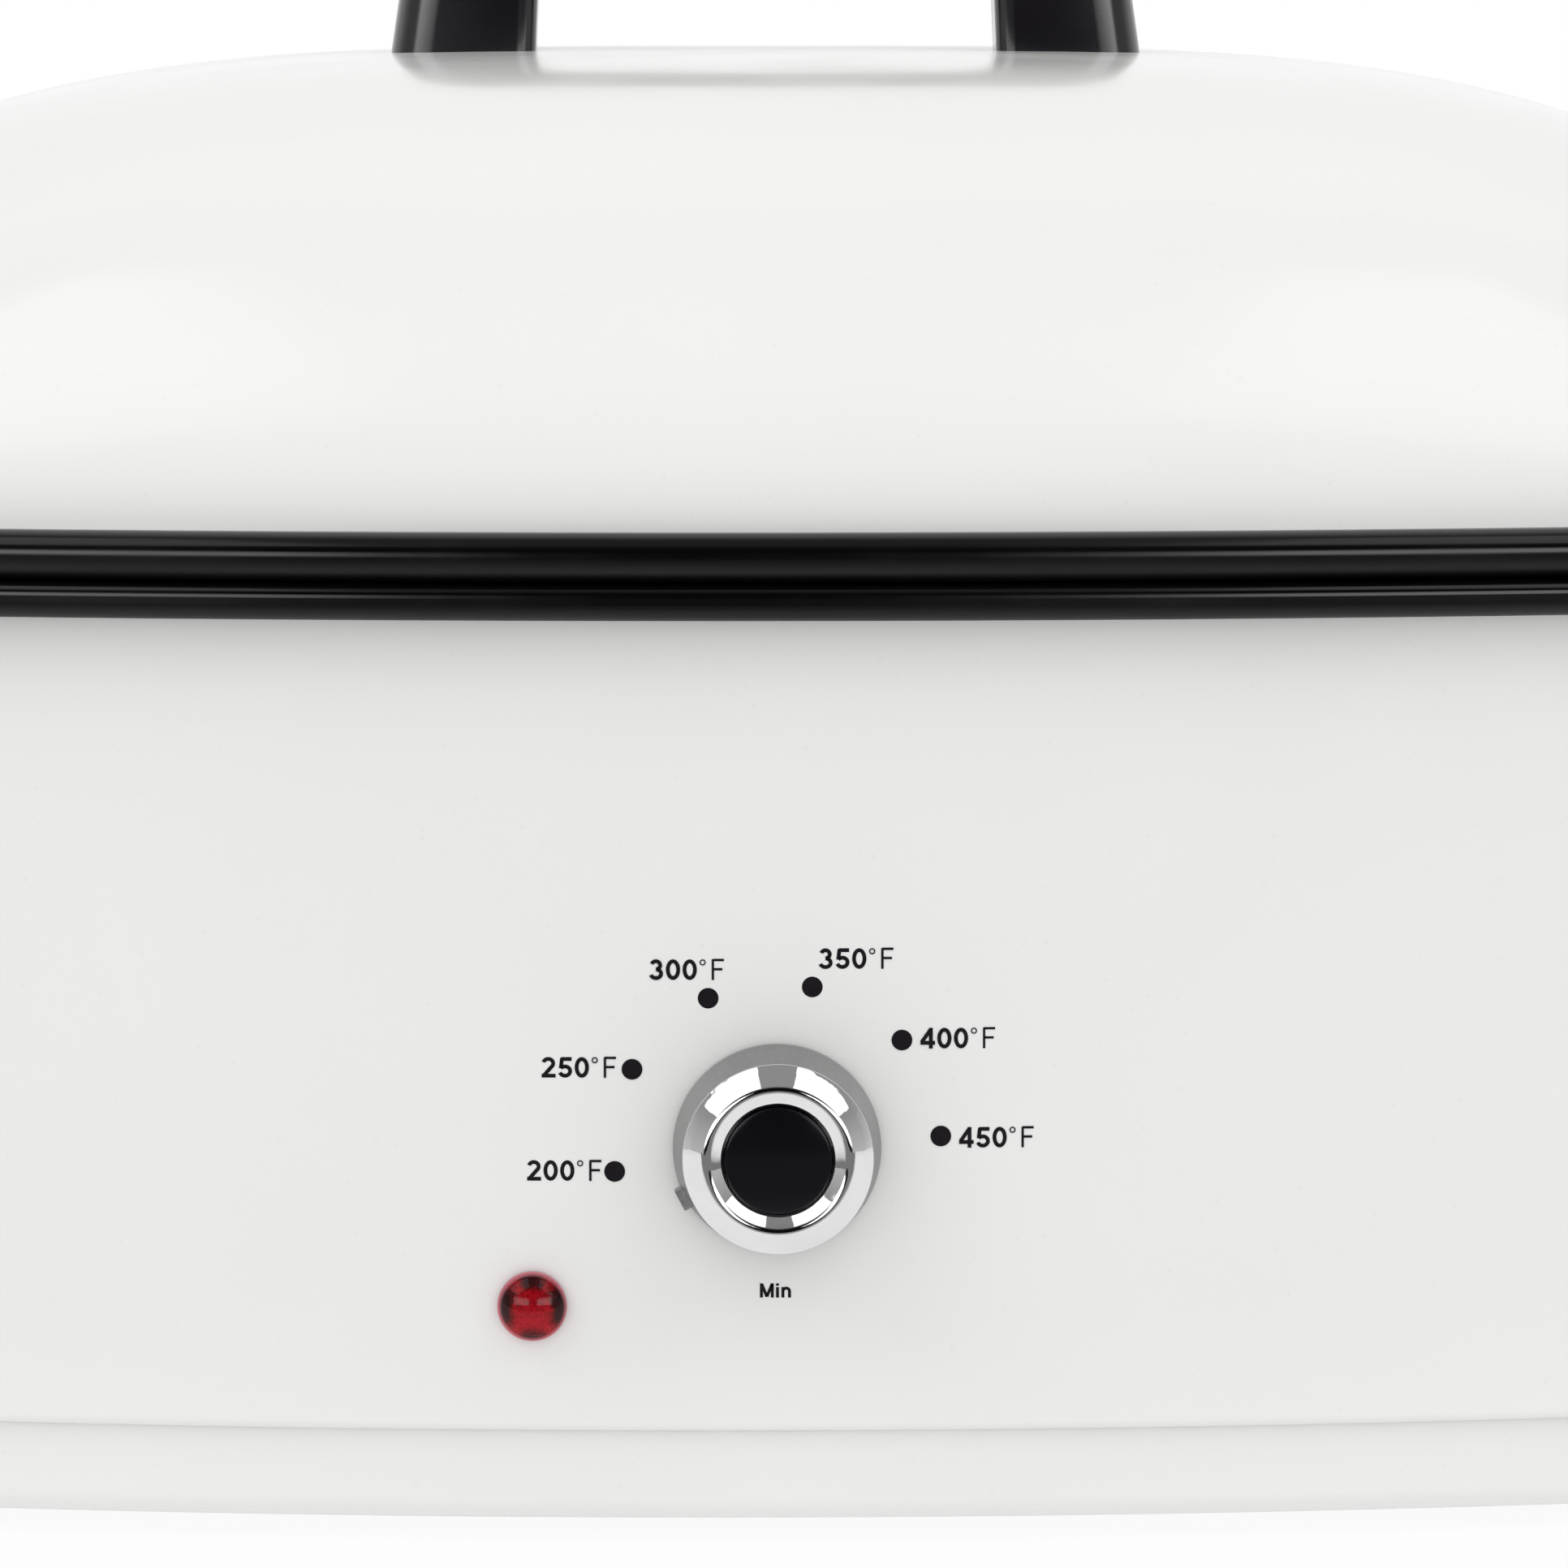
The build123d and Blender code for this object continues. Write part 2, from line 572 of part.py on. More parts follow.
def knob_skirt():
    """Body of the knob: a tapered skirt with a pointer on its edge and a spigot for ring and cap."""
    spigot = SKIRT_TOP + RING_LENGTH - CAP_LENGTH
    body = turned((0, KNOB_GAP), (SKIRT_RADIUS, KNOB_GAP), (SKIRT_RADIUS, KNOB_GAP + SKIRT_EDGE),
                  (SKIRT_NECK, SKIRT_TOP), (CAP_RADIUS, SKIRT_TOP), (CAP_RADIUS, spigot), (0, spigot))
    pointer = block(POINTER_PROUD + SKIRT_WALL, POINTER_WIDTH, KNOB_GAP, RECESS_TOP)
    at_edge = SKIRT_RADIUS + (POINTER_PROUD - SKIRT_WALL) / 2
    body += Rot(0, 0, POINTER_ANGLE) * Pos(at_edge, 0) * pointer
    recess = rod(SKIRT_NECK - SKIRT_WALL / 2, 0, RECESS_TOP) - rod(HUB_RADIUS, 0, RECESS_TOP)
    bore = d_rod(SHAFT_RADIUS + RUNNING, SHAFT_FLAT + RUNNING, 0, SHAFT_TOP + SEAT)
    return knob_plane() * (body - recess - bore)


def knob_ring():
    """Bright ring: a bevel rising to a crest, then a dish round the cap."""
    hole = CAP_RADIUS + FREE
    top = SKIRT_TOP + RING_LENGTH
    lip = SKIRT_TOP + 0.3 * RING_LENGTH
    step = SKIRT_TOP + 0.5 * RING_LENGTH
    dish = top - 0.25 * RING_LENGTH
    outside = [(hole, SKIRT_TOP), (SKIRT_NECK, SKIRT_TOP), (RING_RADIUS, lip), (RING_RADIUS, step)]
    inside = [(RING_CREST, top), (hole + SEAT, dish), (hole, dish)]
    face = make_face(Polyline(*outside, *inside, close=True))
    face = fillet(face.vertices().group_by(Axis.Y)[-1], RING_CREST_BEND)
    return knob_plane() * revolve(Plane.XZ * face, axis=Axis.Z)


def knob_cap():
    """Black disc in the middle of the ring, slightly crowned."""
    bottom = SKIRT_TOP + RING_LENGTH - CAP_LENGTH
    edge = bottom + CAP_LENGTH - 2 * CAP_CROWN
    crown = edge + CAP_CROWN
    side = [Line((0, bottom), (CAP_RADIUS, bottom)), Line((CAP_RADIUS, bottom), (CAP_RADIUS, edge))]
    section = make_face(side + [crown_arc(CAP_RADIUS, edge, CAP_CROWN), Line((0, crown), (0, bottom))])
    return knob_plane() * revolve(Plane.XZ * section, axis=Axis.Z)


def thermostat_shaft():
    """Shaft with a flat, from inside the thermostat into the knob."""
    inner = plate_back() - BEARING_DEPTH
    round_part = rod(SHAFT_RADIUS, inner, SEAT)
    return knob_plane() * (round_part + d_rod(SHAFT_RADIUS, SHAFT_FLAT, SEAT, SHAFT_TOP))


# ================================================================== thermostat and lamp
def plate_front():
    """Front face of the thermostat's plate, behind the shell."""
    return -SHELL_SHEET - 2 * SEAT


def plate_back():
    return plate_front() - PLATE_SHEET


def thermostat_plate():
    """Mounting plate, held to the shell by two screws."""
    plate = block(PLATE_LENGTH, PLATE_WIDTH, plate_back(), plate_front())
    plate -= rod(SHAFT_RADIUS + 2 * SEAT, plate_back(), plate_front())
    for side in (-1, 1):
        hole = rod(PLATE_SCREW_RADIUS + RUNNING, plate_back(), plate_front())
        plate -= Pos(side * PLATE_SCREW_SPACING / 2, 0) * hole
    return knob_plane() * plate


def thermostat_screws():
    """Screws through the shell into the plate, hidden under the skirt."""
    length = SEAT - plate_front() + PLATE_SHEET + 1.5
    one = screw(PLATE_SCREW_RADIUS, PLATE_SCREW_HEAD, PLATE_SCREW_HEAD_LENGTH, length)
    turned_in = Pos(0, 0, SEAT) * Rot(180, 0, 0) * one
    return [knob_plane() * Pos(side * PLATE_SCREW_SPACING / 2, 0) * turned_in for side in (-1, 1)]


def thermostat_body():
    """Moulded case with a bearing for the shaft and pockets for the screws' ends."""
    front = plate_back()
    body = block(THERMOSTAT_LENGTH, THERMOSTAT_HEIGHT, front - THERMOSTAT_DEPTH, front)
    body = fillet(body.edges().filter_by(Axis.Z), 2)
    body -= rod(SHAFT_RADIUS + RUNNING, front - BEARING_DEPTH - SEAT, front)
    for side in (-1, 1):
        body -= Pos(side * PLATE_SCREW_SPACING / 2, 0) * rod(PLATE_SCREW_RADIUS + FREE, front - 3, front)
    return knob_plane() * body


def tab_level():
    """Depth of the thermostat's terminals behind the shell."""
    return plate_back() - THERMOSTAT_DEPTH * 0.6


def thermostat_tabs():
    """Blade terminals under the thermostat."""
    middle = -(THERMOSTAT_HEIGHT + TAB_LENGTH) / 2
    blade = Box(TAB_WIDTH, TAB_LENGTH, TAB_SHEET)
    return [knob_plane() * Pos(side * TAB_SIDE, middle, tab_level()) * blade for side in (-1, 1)]


def indicator_lens():
    """Hollow lens: a dome over a collar, and a barrel through the shell."""
    collar = SEAT + LENS_COLLAR
    crown = collar + LENS_DOME
    inner = LENS_BARREL - LENS_WALL
    hollow_top = crown - LENS_WALL
    inside = Polyline((0, crown), (0, hollow_top), (inner, hollow_top), (inner, -LENS_LENGTH))
    outside = Polyline((inner, -LENS_LENGTH), (LENS_BARREL, -LENS_LENGTH), (LENS_BARREL, SEAT),
                       (LENS_RADIUS, SEAT), (LENS_RADIUS, collar))
    wall = make_face([*outside.edges(), crown_arc(LENS_RADIUS, collar, LENS_DOME), *inside.edges()])
    return lamp_plane() * revolve(Plane.XZ * wall, axis=Axis.Z)


def lamp_plane():
    """Plane on the shell at the lamp's axis, z outwards."""
    return front_plane(LAMP_SIDE, LAMP_HEIGHT)


def lens_push_nut():
    """Spring nut that grips the barrel behind the shell."""
    top = -SHELL_SHEET - SEAT
    bottom = top - PUSH_NUT_SHEET
    return lamp_plane() * (rod(PUSH_NUT_RADIUS, bottom, top) - rod(LENS_BARREL + FREE, bottom, top))


def neon_lamp():
    """Small glass lamp in the lens, its end flush with the barrel."""
    glass = rod(NEON_RADIUS, -LENS_LENGTH, NEON_LENGTH - LENS_LENGTH)
    return lamp_plane() * fillet(glass.edges().group_by(Axis.Z)[-1], NEON_RADIUS * 0.8)


def lamp_leads():
    """Two fine leads from the lamp to the thermostat's left terminal and to the return lead."""
    start = lamp_plane()
    leads = []
    for offset_y, end_side in ((1.2, -TAB_SIDE - TAB_WIDTH / 2 - SEAT - 1), (-1.2, -TAB_SIDE - TAB_WIDTH)):
        height = LAMP_HEIGHT + offset_y
        back = -LENS_LENGTH - 2.5
        first = start.from_local_coords((0, offset_y, -LENS_LENGTH))
        turn = start.from_local_coords((0, offset_y, back))
        corner_y = front_y(end_side, SHELL_INSET - back)
        end_z = KNOB_HEIGHT - THERMOSTAT_HEIGHT / 2 - TAB_LENGTH * 0.6 if offset_y > 0 else height - 12
        leads.append(tube([first, turn, (end_side, corner_y, height), (end_side, corner_y, end_z)],
                          [2, 4], LEAD_RADIUS * 0.6))
    return leads


# ================================================================== heating
def back_cut(width, bottom, top):
    """Box that clears a gap of this width at the back of a ring."""
    return Pos(0, RIM_DEPTH / 2, (bottom + top) / 2) * Box(width, RIM_DEPTH / 2, top - bottom)


BAND_INSET = LINER_BACK - SEAT - BAND_SHEET     # outer face of the heating band
BAND_BOTTOM = BAND_TOP - BAND_HEIGHT
BAND_BACK = RIM_DEPTH / 2 - BAND_INSET          # y of that face at the back
CLAMP_BACK = BAND_BACK + EAR_REACH * 0.55       # y of the clamp screw
CLAMP_HEIGHT = BAND_TOP - BAND_HEIGHT / 2


def heater_band():
    """Flat element wrapped round the liner, with two ears at the back."""
    wrap = band(BAND_INSET, BAND_SHEET, BAND_BOTTOM, BAND_HEIGHT) - back_cut(BAND_GAP, BAND_BOTTOM, BAND_TOP)
    ear = Box(EAR_SHEET, EAR_REACH + BAND_SHEET / 2, EAR_HEIGHT)
    for side in (-1, 1):
        x = side * (BAND_GAP + EAR_SHEET) / 2
        y = BAND_BACK + (EAR_REACH - BAND_SHEET / 2) / 2
        wrap += Pos(x, y, CLAMP_HEIGHT) * ear
    across = Rot(0, 90, 0) * Cylinder(CLAMP_RADIUS + FREE, 2 * BAND_GAP)
    return wrap - Pos(0, CLAMP_BACK, CLAMP_HEIGHT) * across


def clamp_screw():
    """Screw that draws the ears together."""
    seat = BAND_GAP / 2 + EAR_SHEET
    length = 2 * seat + 2.5 * CLAMP_RADIUS + 1
    one = Rot(0, -90, 0) * screw(CLAMP_RADIUS, CLAMP_HEAD, CLAMP_RADIUS * 1.2, length)
    return Pos(seat, CLAMP_BACK, CLAMP_HEIGHT) * one


def clamp_nut():
    """Hexagon nut on the clamp screw."""
    nut = extrude(RegularPolygon(CLAMP_HEAD * 1.15, 6), 1.8 * CLAMP_RADIUS)
    nut -= rod(CLAMP_RADIUS + RUNNING, 0, 1.8 * CLAMP_RADIUS)
    return Pos(-BAND_GAP / 2 - EAR_SHEET, CLAMP_BACK, CLAMP_HEIGHT) * Rot(0, -90, 0) * nut


def heater_terminals():
    """Two studs on the heating band, at the back."""
    one = rod(POST_RADIUS, SEAT, POST_LENGTH) - rod(1, POST_LENGTH - 3, POST_LENGTH)
    at_front = [front_plane(side * POST_SIDE, CLAMP_HEIGHT, BAND_INSET) * one for side in (-1, 1)]
    return [mirror(stud, about=Plane.XZ) for stud in at_front]


def insulation(side):
    """One half of the blanket round the heating band."""
    inset = BAND_INSET - SEAT - BLANKET
    bottom = LINER_FLOOR + LINER_CORNER
    top = TRIM_BOTTOM - TRIM_LOW_BEND
    blanket = band(inset, BLANKET, bottom, top - bottom)
    middle = (bottom + top) / 2
    half_depth = RIM_DEPTH / 4
    for gap, y in ((BLANKET_FRONT_GAP, -half_depth), (BLANKET_BACK_GAP, half_depth)):
        blanket -= Pos(0, y, middle) * Box(gap, RIM_DEPTH / 2, top - bottom + 1)
    return [s for s in blanket.solids() if s.center().X * side > 0][0]


def sensor_axis():
    """Start point and direction of the sensor bulb on the liner."""
    middle = front_plane(BULB_START + BULB_LENGTH / 2, BULB_HEIGHT, LINER_BACK - SEAT - BULB_RADIUS)
    return middle.origin - middle.x_dir * (BULB_LENGTH / 2), middle.x_dir


def sensor_bulb():
    """Closed metal bulb against the liner."""
    start, along = sensor_axis()
    bulb = rod(BULB_RADIUS, 0, BULB_LENGTH)
    return Plane(start, z_dir=along) * fillet(bulb.edges().group_by(Axis.Z)[-1], BULB_RADIUS * 0.6)


def sensor_clips():
    """Straps that hold the bulb to the liner."""
    clips = []
    for share in (0.25, 0.8):
        plane = front_plane(BULB_START + share * BULB_LENGTH, BULB_HEIGHT, LINER_BACK)
        inner = BULB_RADIUS + SEAT + FREE
        outer = inner + CLIP_SHEET
        lift = SEAT + BULB_RADIUS
        arch = Pos(0, 0, lift) * Rot(0, 90, 0) * (Cylinder(outer, CLIP_WIDTH) - Cylinder(inner, CLIP_WIDTH))
        arch &= block(CLIP_WIDTH, 2 * outer, lift, lift + outer)
        legs = Pos(0, outer - CLIP_SHEET / 2) * block(CLIP_WIDTH, CLIP_SHEET, SEAT, lift)
        foot_middle = outer + (CLIP_FOOT - CLIP_SHEET) / 2
        foot = Pos(0, foot_middle) * block(CLIP_WIDTH, CLIP_FOOT, SEAT, SEAT + CLIP_SHEET)
        half = legs + foot
        clips.append(plane * (arch + half + mirror(half, about=Plane.XZ)))
    return clips


def capillary_tube():
    """Fine tube from the thermostat's top to the bulb."""
    start, along = sensor_axis()
    inset = SHELL_INSET - plate_back() + THERMOSTAT_DEPTH / 2
    rise = front_y(CAPILLARY_SIDE, inset)
    top = KNOB_HEIGHT + THERMOSTAT_HEIGHT / 2
    points = [(CAPILLARY_SIDE, rise, top), (CAPILLARY_SIDE, rise, BULB_HEIGHT), start - along * 8, start]
    return tube(points, [5, 3], CAPILLARY_RADIUS)


# ================================================================== underside
def foot_places():
    """Positions of the four feet."""
    return [Pos(x * FOOT_SIDE, y * FOOT_FRONT) for x in (-1, 1) for y in (-1, 1)]


def rubber_feet():
    """Rubber pads, each with a recess for its screw."""
    foot = rod(FOOT_RADIUS, 0, FOOT_HEIGHT)
    foot = fillet(foot.edges().group_by(Axis.Z)[0], 1)
    foot -= rod(FOOT_SCREW_RADIUS + FREE, 0, FOOT_HEIGHT)
    foot -= rod(FOOT_SCREW_HEAD + 1, 0, FOOT_HEIGHT - FOOT_WEB)
    return [place * foot for place in foot_places()]


def foot_screws():
    """Screws through foot and pan into the brackets."""
    length = FOOT_WEB + BASE_SHEET + BRACKET_SHEET + 3
    one = screw(FOOT_SCREW_RADIUS, FOOT_SCREW_HEAD, FOOT_SCREW_HEAD_LENGTH, length)
    return [place * Pos(0, 0, FOOT_HEIGHT - FOOT_WEB) * one for place in foot_places()]


def liner_brackets():
    """C-shaped brackets between base pan and liner."""
    rise = LINER_UNDERSIDE - BASE_FLOOR
    channel = Rectangle(BRACKET_WIDTH, rise)
    channel -= Pos(-BRACKET_SHEET, 0) * Rectangle(BRACKET_WIDTH, rise - 2 * BRACKET_SHEET)
    piece = extrude(Plane.YZ * channel, BRACKET_LENGTH / 2, both=True)
    piece -= Pos(0, 0, -rise / 2) * Cylinder(FOOT_SCREW_RADIUS + RUNNING, 4 * BRACKET_SHEET)
    lift = Pos(0, 0, BASE_FLOOR + rise / 2)
    brackets = []
    for place in foot_places():
        turn = Rot(0, 0, 0 if place.position.Y > 0 else 180)
        brackets.append(place * lift * turn * piece)
    return brackets


def bottom_reflector():
    """Bright tray under the liner that holds the floor insulation."""
    bottom = LINER_UNDERSIDE - REFLECTOR_DEPTH
    floor_inset = REFLECTOR_INSET + 4
    top = LINER_UNDERSIDE - SEAT
    line = bent([(floor_inset, bottom), (REFLECTOR_INSET, bottom), (REFLECTOR_INSET, top)], [REFLECTOR_BEND])
    tray = ring(sheet(line, REFLECTOR_SHEET, Side.LEFT))
    return tray + slab(floor_inset, bottom, bottom + REFLECTOR_SHEET)


def floor_insulation():
    """Pad between reflector and liner."""
    inset = REFLECTOR_INSET + REFLECTOR_SHEET + 2
    bottom = LINER_UNDERSIDE - REFLECTOR_DEPTH + REFLECTOR_SHEET
    return slab(inset, bottom, LINER_UNDERSIDE - SEAT)


def block_screw_places():
    """Axes of the screws that hold the terminal block down."""
    reach = BLOCK_LENGTH / 2 - BLOCK_SCREW_RADIUS - 2
    return [Pos(BLOCK_SIDE + side * reach, BLOCK_BACK) for side in (-1, 1)]


def terminal_block():
    """Ceramic block on the base pan, with one way for each conductor."""
    top = BASE_FLOOR + BLOCK_HEIGHT
    body = Pos(BLOCK_SIDE, BLOCK_BACK) * block(BLOCK_LENGTH, BLOCK_WIDTH, BASE_FLOOR, top)
    body = fillet(body.edges().filter_by(Axis.Z), 2)
    for place in block_screw_places():
        body -= place * rod(BLOCK_SCREW_RADIUS + FREE, BASE_FLOOR, top)
    for place in block_way_places():
        body -= place * rod(BLOCK_SCREW_RADIUS * 0.8 + FREE, top - 5, top)
    return body


def block_way_places():
    """Positions of the ways, in a row between the fixing screws."""
    pitch = (BLOCK_LENGTH - 4 * BLOCK_SCREW_RADIUS - 8) / (BLOCK_WAYS + 1)
    first = BLOCK_SIDE - pitch * (BLOCK_WAYS - 1) / 2
    return [Pos(first + i * pitch, BLOCK_BACK) for i in range(BLOCK_WAYS)]


def terminal_screws():
    """Fixing screws from below, and a clamping screw in each way."""
    top = BASE_FLOOR + BLOCK_HEIGHT
    fixing = screw(BLOCK_SCREW_RADIUS, BLOCK_SCREW_RADIUS * 1.5, 1.6, BLOCK_HEIGHT)
    fixings = [place * Pos(0, 0, BASE_BOTTOM) * fixing for place in block_screw_places()]
    grip = rod(BLOCK_SCREW_RADIUS * 0.8, top - 5, top - 1)
    return fixings + [place * grip for place in block_way_places()]


def gland_plane():
    """Plane on the back wall at the cord's entry, z outwards."""
    return Plane((0, RIM_DEPTH / 2 - SHELL_INSET, GLAND_HEIGHT), x_dir=(-1, 0, 0), z_dir=(0, 1, 0))


def cord_gland():
    """Bushing that a supply cord would pass through, with a tapered nose."""
    flange = SEAT + GLAND_FLANGE_LENGTH
    barrel = [(GLAND_BORE, -GLAND_TAIL), (GLAND_BARREL, -GLAND_TAIL), (GLAND_BARREL, SEAT)]
    nose = [(GLAND_BARREL, flange), (GLAND_TIP, GLAND_NOSE), (GLAND_BORE, GLAND_NOSE)]
    return gland_plane() * turned(*barrel, (GLAND_FLANGE, SEAT), (GLAND_FLANGE, flange), *nose)


def gland_locknut():
    """Hexagon locknut behind the shell."""
    top = -SHELL_SHEET - SEAT
    nut = Pos(0, 0, top - LOCKNUT_LENGTH) * extrude(RegularPolygon(LOCKNUT_RADIUS, 6), LOCKNUT_LENGTH)
    return gland_plane() * (nut - rod(GLAND_BARREL + FREE, top - LOCKNUT_LENGTH, top))


def supply_lead():
    """Lead from the terminal block to the thermostat's right terminal."""
    front = front_y(TAB_SIDE, LEAD_INSET)
    start = BLOCK_BACK - BLOCK_WIDTH / 2 - SEAT
    under = [(BLOCK_SIDE - 6, start, LEAD_HEIGHT), (BLOCK_SIDE - 14, start - LEAD_RUN, LEAD_HEIGHT),
             (TAB_SIDE + 8, front + LEAD_RUN, LEAD_HEIGHT), (TAB_SIDE, front, LEAD_HEIGHT)]
    return tube([*under, (TAB_SIDE, front, tab_end())], LEAD_BEND, LEAD_RADIUS)


def tab_end():
    """Height at which a lead meets a blade terminal."""
    return KNOB_HEIGHT - THERMOSTAT_HEIGHT / 2 - TAB_LENGTH - SEAT


def heater_leads():
    """Leads to the two studs of the heating band, one from the block and one from the thermostat."""
    back = -front_y(POST_SIDE, LEAD_INSET)
    post_end = CLAMP_HEIGHT - POST_RADIUS - SEAT
    block_back = BLOCK_BACK + BLOCK_WIDTH / 2 + SEAT
    near = [(BLOCK_SIDE - 4, block_back, LEAD_HEIGHT), (BLOCK_SIDE - 8, back, LEAD_HEIGHT),
            (POST_SIDE, back, (LEAD_HEIGHT + post_end) / 2), (POST_SIDE, back, post_end)]
    front = front_y(TAB_SIDE, LEAD_INSET)
    down = [(-TAB_SIDE, front, tab_end()), (-TAB_SIDE, front, LEAD_HEIGHT)]
    under = [(-TAB_SIDE - 6, front + LEAD_RUN, LEAD_HEIGHT), (-POST_SIDE + 4, back - LEAD_RUN, LEAD_HEIGHT)]
    up = [(-POST_SIDE, back, LEAD_HEIGHT), (-POST_SIDE, back, post_end)]
    return [tube(near, LEAD_BEND * 0.85, LEAD_RADIUS), tube([*down, *under, *up], LEAD_BEND, LEAD_RADIUS)]


# ================================================================== side handles
def handle_screw_planes():
    """Planes on the end walls at the handles' screws, z outwards."""
    half = HANDLE_SCREW_SPACING / 2
    return [end_plane(side, y, HANDLE_HEIGHT) for side in (-1, 1) for y in (-half, half)]


def side_handle():
    """Loop handle of the right end: a bar on two arms, each with a pad that follows the shell."""
    outer_x = RIM_LENGTH / 2 + HANDLE_REACH
    inner_x = outer_x - HANDLE_BAR
    root_x = RIM_LENGTH / 2 - 6 * SHELL_INSET
    low, high = HANDLE_HEIGHT - HANDLE_THICK / 2, HANDLE_HEIGHT + HANDLE_THICK / 2
    outer = Pos((outer_x + root_x) / 2, 0) * RectangleRounded(outer_x - root_x, HANDLE_LENGTH, HANDLE_CORNER)
    inner = Pos((inner_x + root_x) / 2 - 10, 0)
    hole = inner * RectangleRounded(inner_x - root_x + 20, HANDLE_OPENING, HANDLE_INNER_CORNER)
    root = Pos(root_x, 0) * Rectangle(HANDLE_CORNER * 2, 2 * HANDLE_LENGTH)
    loop = Pos(0, 0, low) * extrude(outer - hole - root, high - low)
    rims = loop.edges().group_by(Axis.Z)[0] + loop.edges().group_by(Axis.Z)[-1]
    loop = fillet([e for e in rims if e.center().X > root_x + HANDLE_CORNER + 0.5], HANDLE_EDGE)
    for y in (-1, 1):
        plane = end_plane(1, y * HANDLE_SCREW_SPACING / 2, HANDLE_HEIGHT)
        pad = Pos(0, 0, -PAD_THICK) * extrude(RectangleRounded(PAD_LENGTH, PAD_HEIGHT, 6), 2 * PAD_THICK)
        pad = fillet(pad.edges().group_by(Axis.Z)[-1], PAD_EDGE)
        loop += plane * pad
    loop -= slab(SHELL_INSET - SEAT, low - PAD_HEIGHT, high + PAD_HEIGHT)
    for y in (-1, 1):
        plane = end_plane(1, y * HANDLE_SCREW_SPACING / 2, HANDLE_HEIGHT)
        loop -= plane * rod(HANDLE_SCREW_RADIUS + RUNNING, 0, HANDLE_SCREW_REACH + 1)
    return loop


def side_handle_screws():
    """Screws from inside the shell into the handles' arms."""
    seat = -SHELL_SHEET - SEAT
    one = screw(HANDLE_SCREW_RADIUS, HANDLE_SCREW_HEAD, HANDLE_SCREW_HEAD_LENGTH, HANDLE_SCREW_REACH - seat)
    return [plane * Pos(0, 0, seat) * one for plane in handle_screw_planes()]


# ================================================================== write the parts
right_handle = side_handle()
wrap = body_wrap()

PARTS = {
    "body_front": body_half(wrap, -1),
    "body_back": body_half(wrap, 1),
    "base_pan": base_pan(),
    "rim_trim": rim_trim(),
    "liner_well": liner_well(),
    "cookwell": cookwell(),
    "rack_ring": rack_ring(),
    "rack_bars": rack_bars(),
    "rack_runners": rack_runners(),
    "rack_handles": [rack_handle(side) for side in (-1, 1)],
    "lid_shell": lid_shell(),
    "lid_handle": lid_handle(),
    "lid_handle_screws": lid_handle_screws(),
    "lid_handle_washers": lid_handle_washers(),
    "knob_skirt": knob_skirt(),
    "knob_ring": knob_ring(),
    "knob_cap": knob_cap(),
    "thermostat_shaft": thermostat_shaft(),
    "thermostat_plate": thermostat_plate(),
    "thermostat_screws": thermostat_screws(),
    "thermostat_body": thermostat_body(),
    "thermostat_tabs": thermostat_tabs(),
    "indicator_lens": indicator_lens(),
    "lens_push_nut": lens_push_nut(),
    "neon_lamp": neon_lamp(),
    "lamp_leads": lamp_leads(),
    "heater_band": heater_band(),
    "heater_terminals": heater_terminals(),
    "clamp_screw": clamp_screw(),
    "clamp_nut": clamp_nut(),
    "insulation_left": insulation(-1),
    "insulation_right": insulation(1),
    "sensor_bulb": sensor_bulb(),
    "sensor_clips": sensor_clips(),
    "capillary_tube": capillary_tube(),
    "rubber_feet": rubber_feet(),
    "foot_screws": foot_screws(),
    "liner_brackets": liner_brackets(),
    "bottom_reflector": bottom_reflector(),
    "floor_insulation": floor_insulation(),
    "terminal_block": terminal_block(),
    "terminal_screws": terminal_screws(),
    "cord_gland": cord_gland(),
    "gland_locknut": gland_locknut(),
    "supply_lead": supply_lead(),
    "heater_leads": heater_leads(),
    "right_handle": right_handle,
    "left_handle": mirror(right_handle, about=Plane.YZ),
    "side_handle_screws": side_handle_screws(),
}

os.makedirs("parts", exist_ok=True)
for node, shape in PARTS.items():
    solids = shape if isinstance(shape, list) else shape.solids()
    export_step(Compound(children=[s for piece in solids for s in piece.solids()]), f"parts/{node}.step")
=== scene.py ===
import math

import bmesh
import bpy
from mathutils import Matrix, Vector


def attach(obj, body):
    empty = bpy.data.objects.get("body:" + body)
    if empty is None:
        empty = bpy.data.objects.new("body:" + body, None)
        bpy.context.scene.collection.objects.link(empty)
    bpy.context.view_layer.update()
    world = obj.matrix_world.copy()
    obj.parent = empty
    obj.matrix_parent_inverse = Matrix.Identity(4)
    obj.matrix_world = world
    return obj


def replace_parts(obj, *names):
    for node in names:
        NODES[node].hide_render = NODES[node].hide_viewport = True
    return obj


bl_info = {
    "name": "Electric Roaster Oven",
    "version": (1, 0, 0),
    "blender": (4, 5, 0),
    "location": "View3D > Sidebar > Roaster",
    "description": "Finishes, dial print and studio for a countertop roaster oven",
    "category": "Object",
}

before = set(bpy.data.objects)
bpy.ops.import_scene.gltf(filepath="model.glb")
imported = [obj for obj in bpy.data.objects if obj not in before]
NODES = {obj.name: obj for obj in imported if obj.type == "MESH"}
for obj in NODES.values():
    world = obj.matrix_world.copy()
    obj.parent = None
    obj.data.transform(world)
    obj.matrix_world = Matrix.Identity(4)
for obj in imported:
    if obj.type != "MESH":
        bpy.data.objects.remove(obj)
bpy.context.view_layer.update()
MM = 0.001

# The rim's oblong outline has eight arcs: a bow along each side and each end, and four corners.
HALF_LENGTH = 0.250
HALF_DEPTH = 0.198
SIDE_RADIUS = 0.900
END_RADIUS = 0.480
CORNER_RADIUS = 0.110

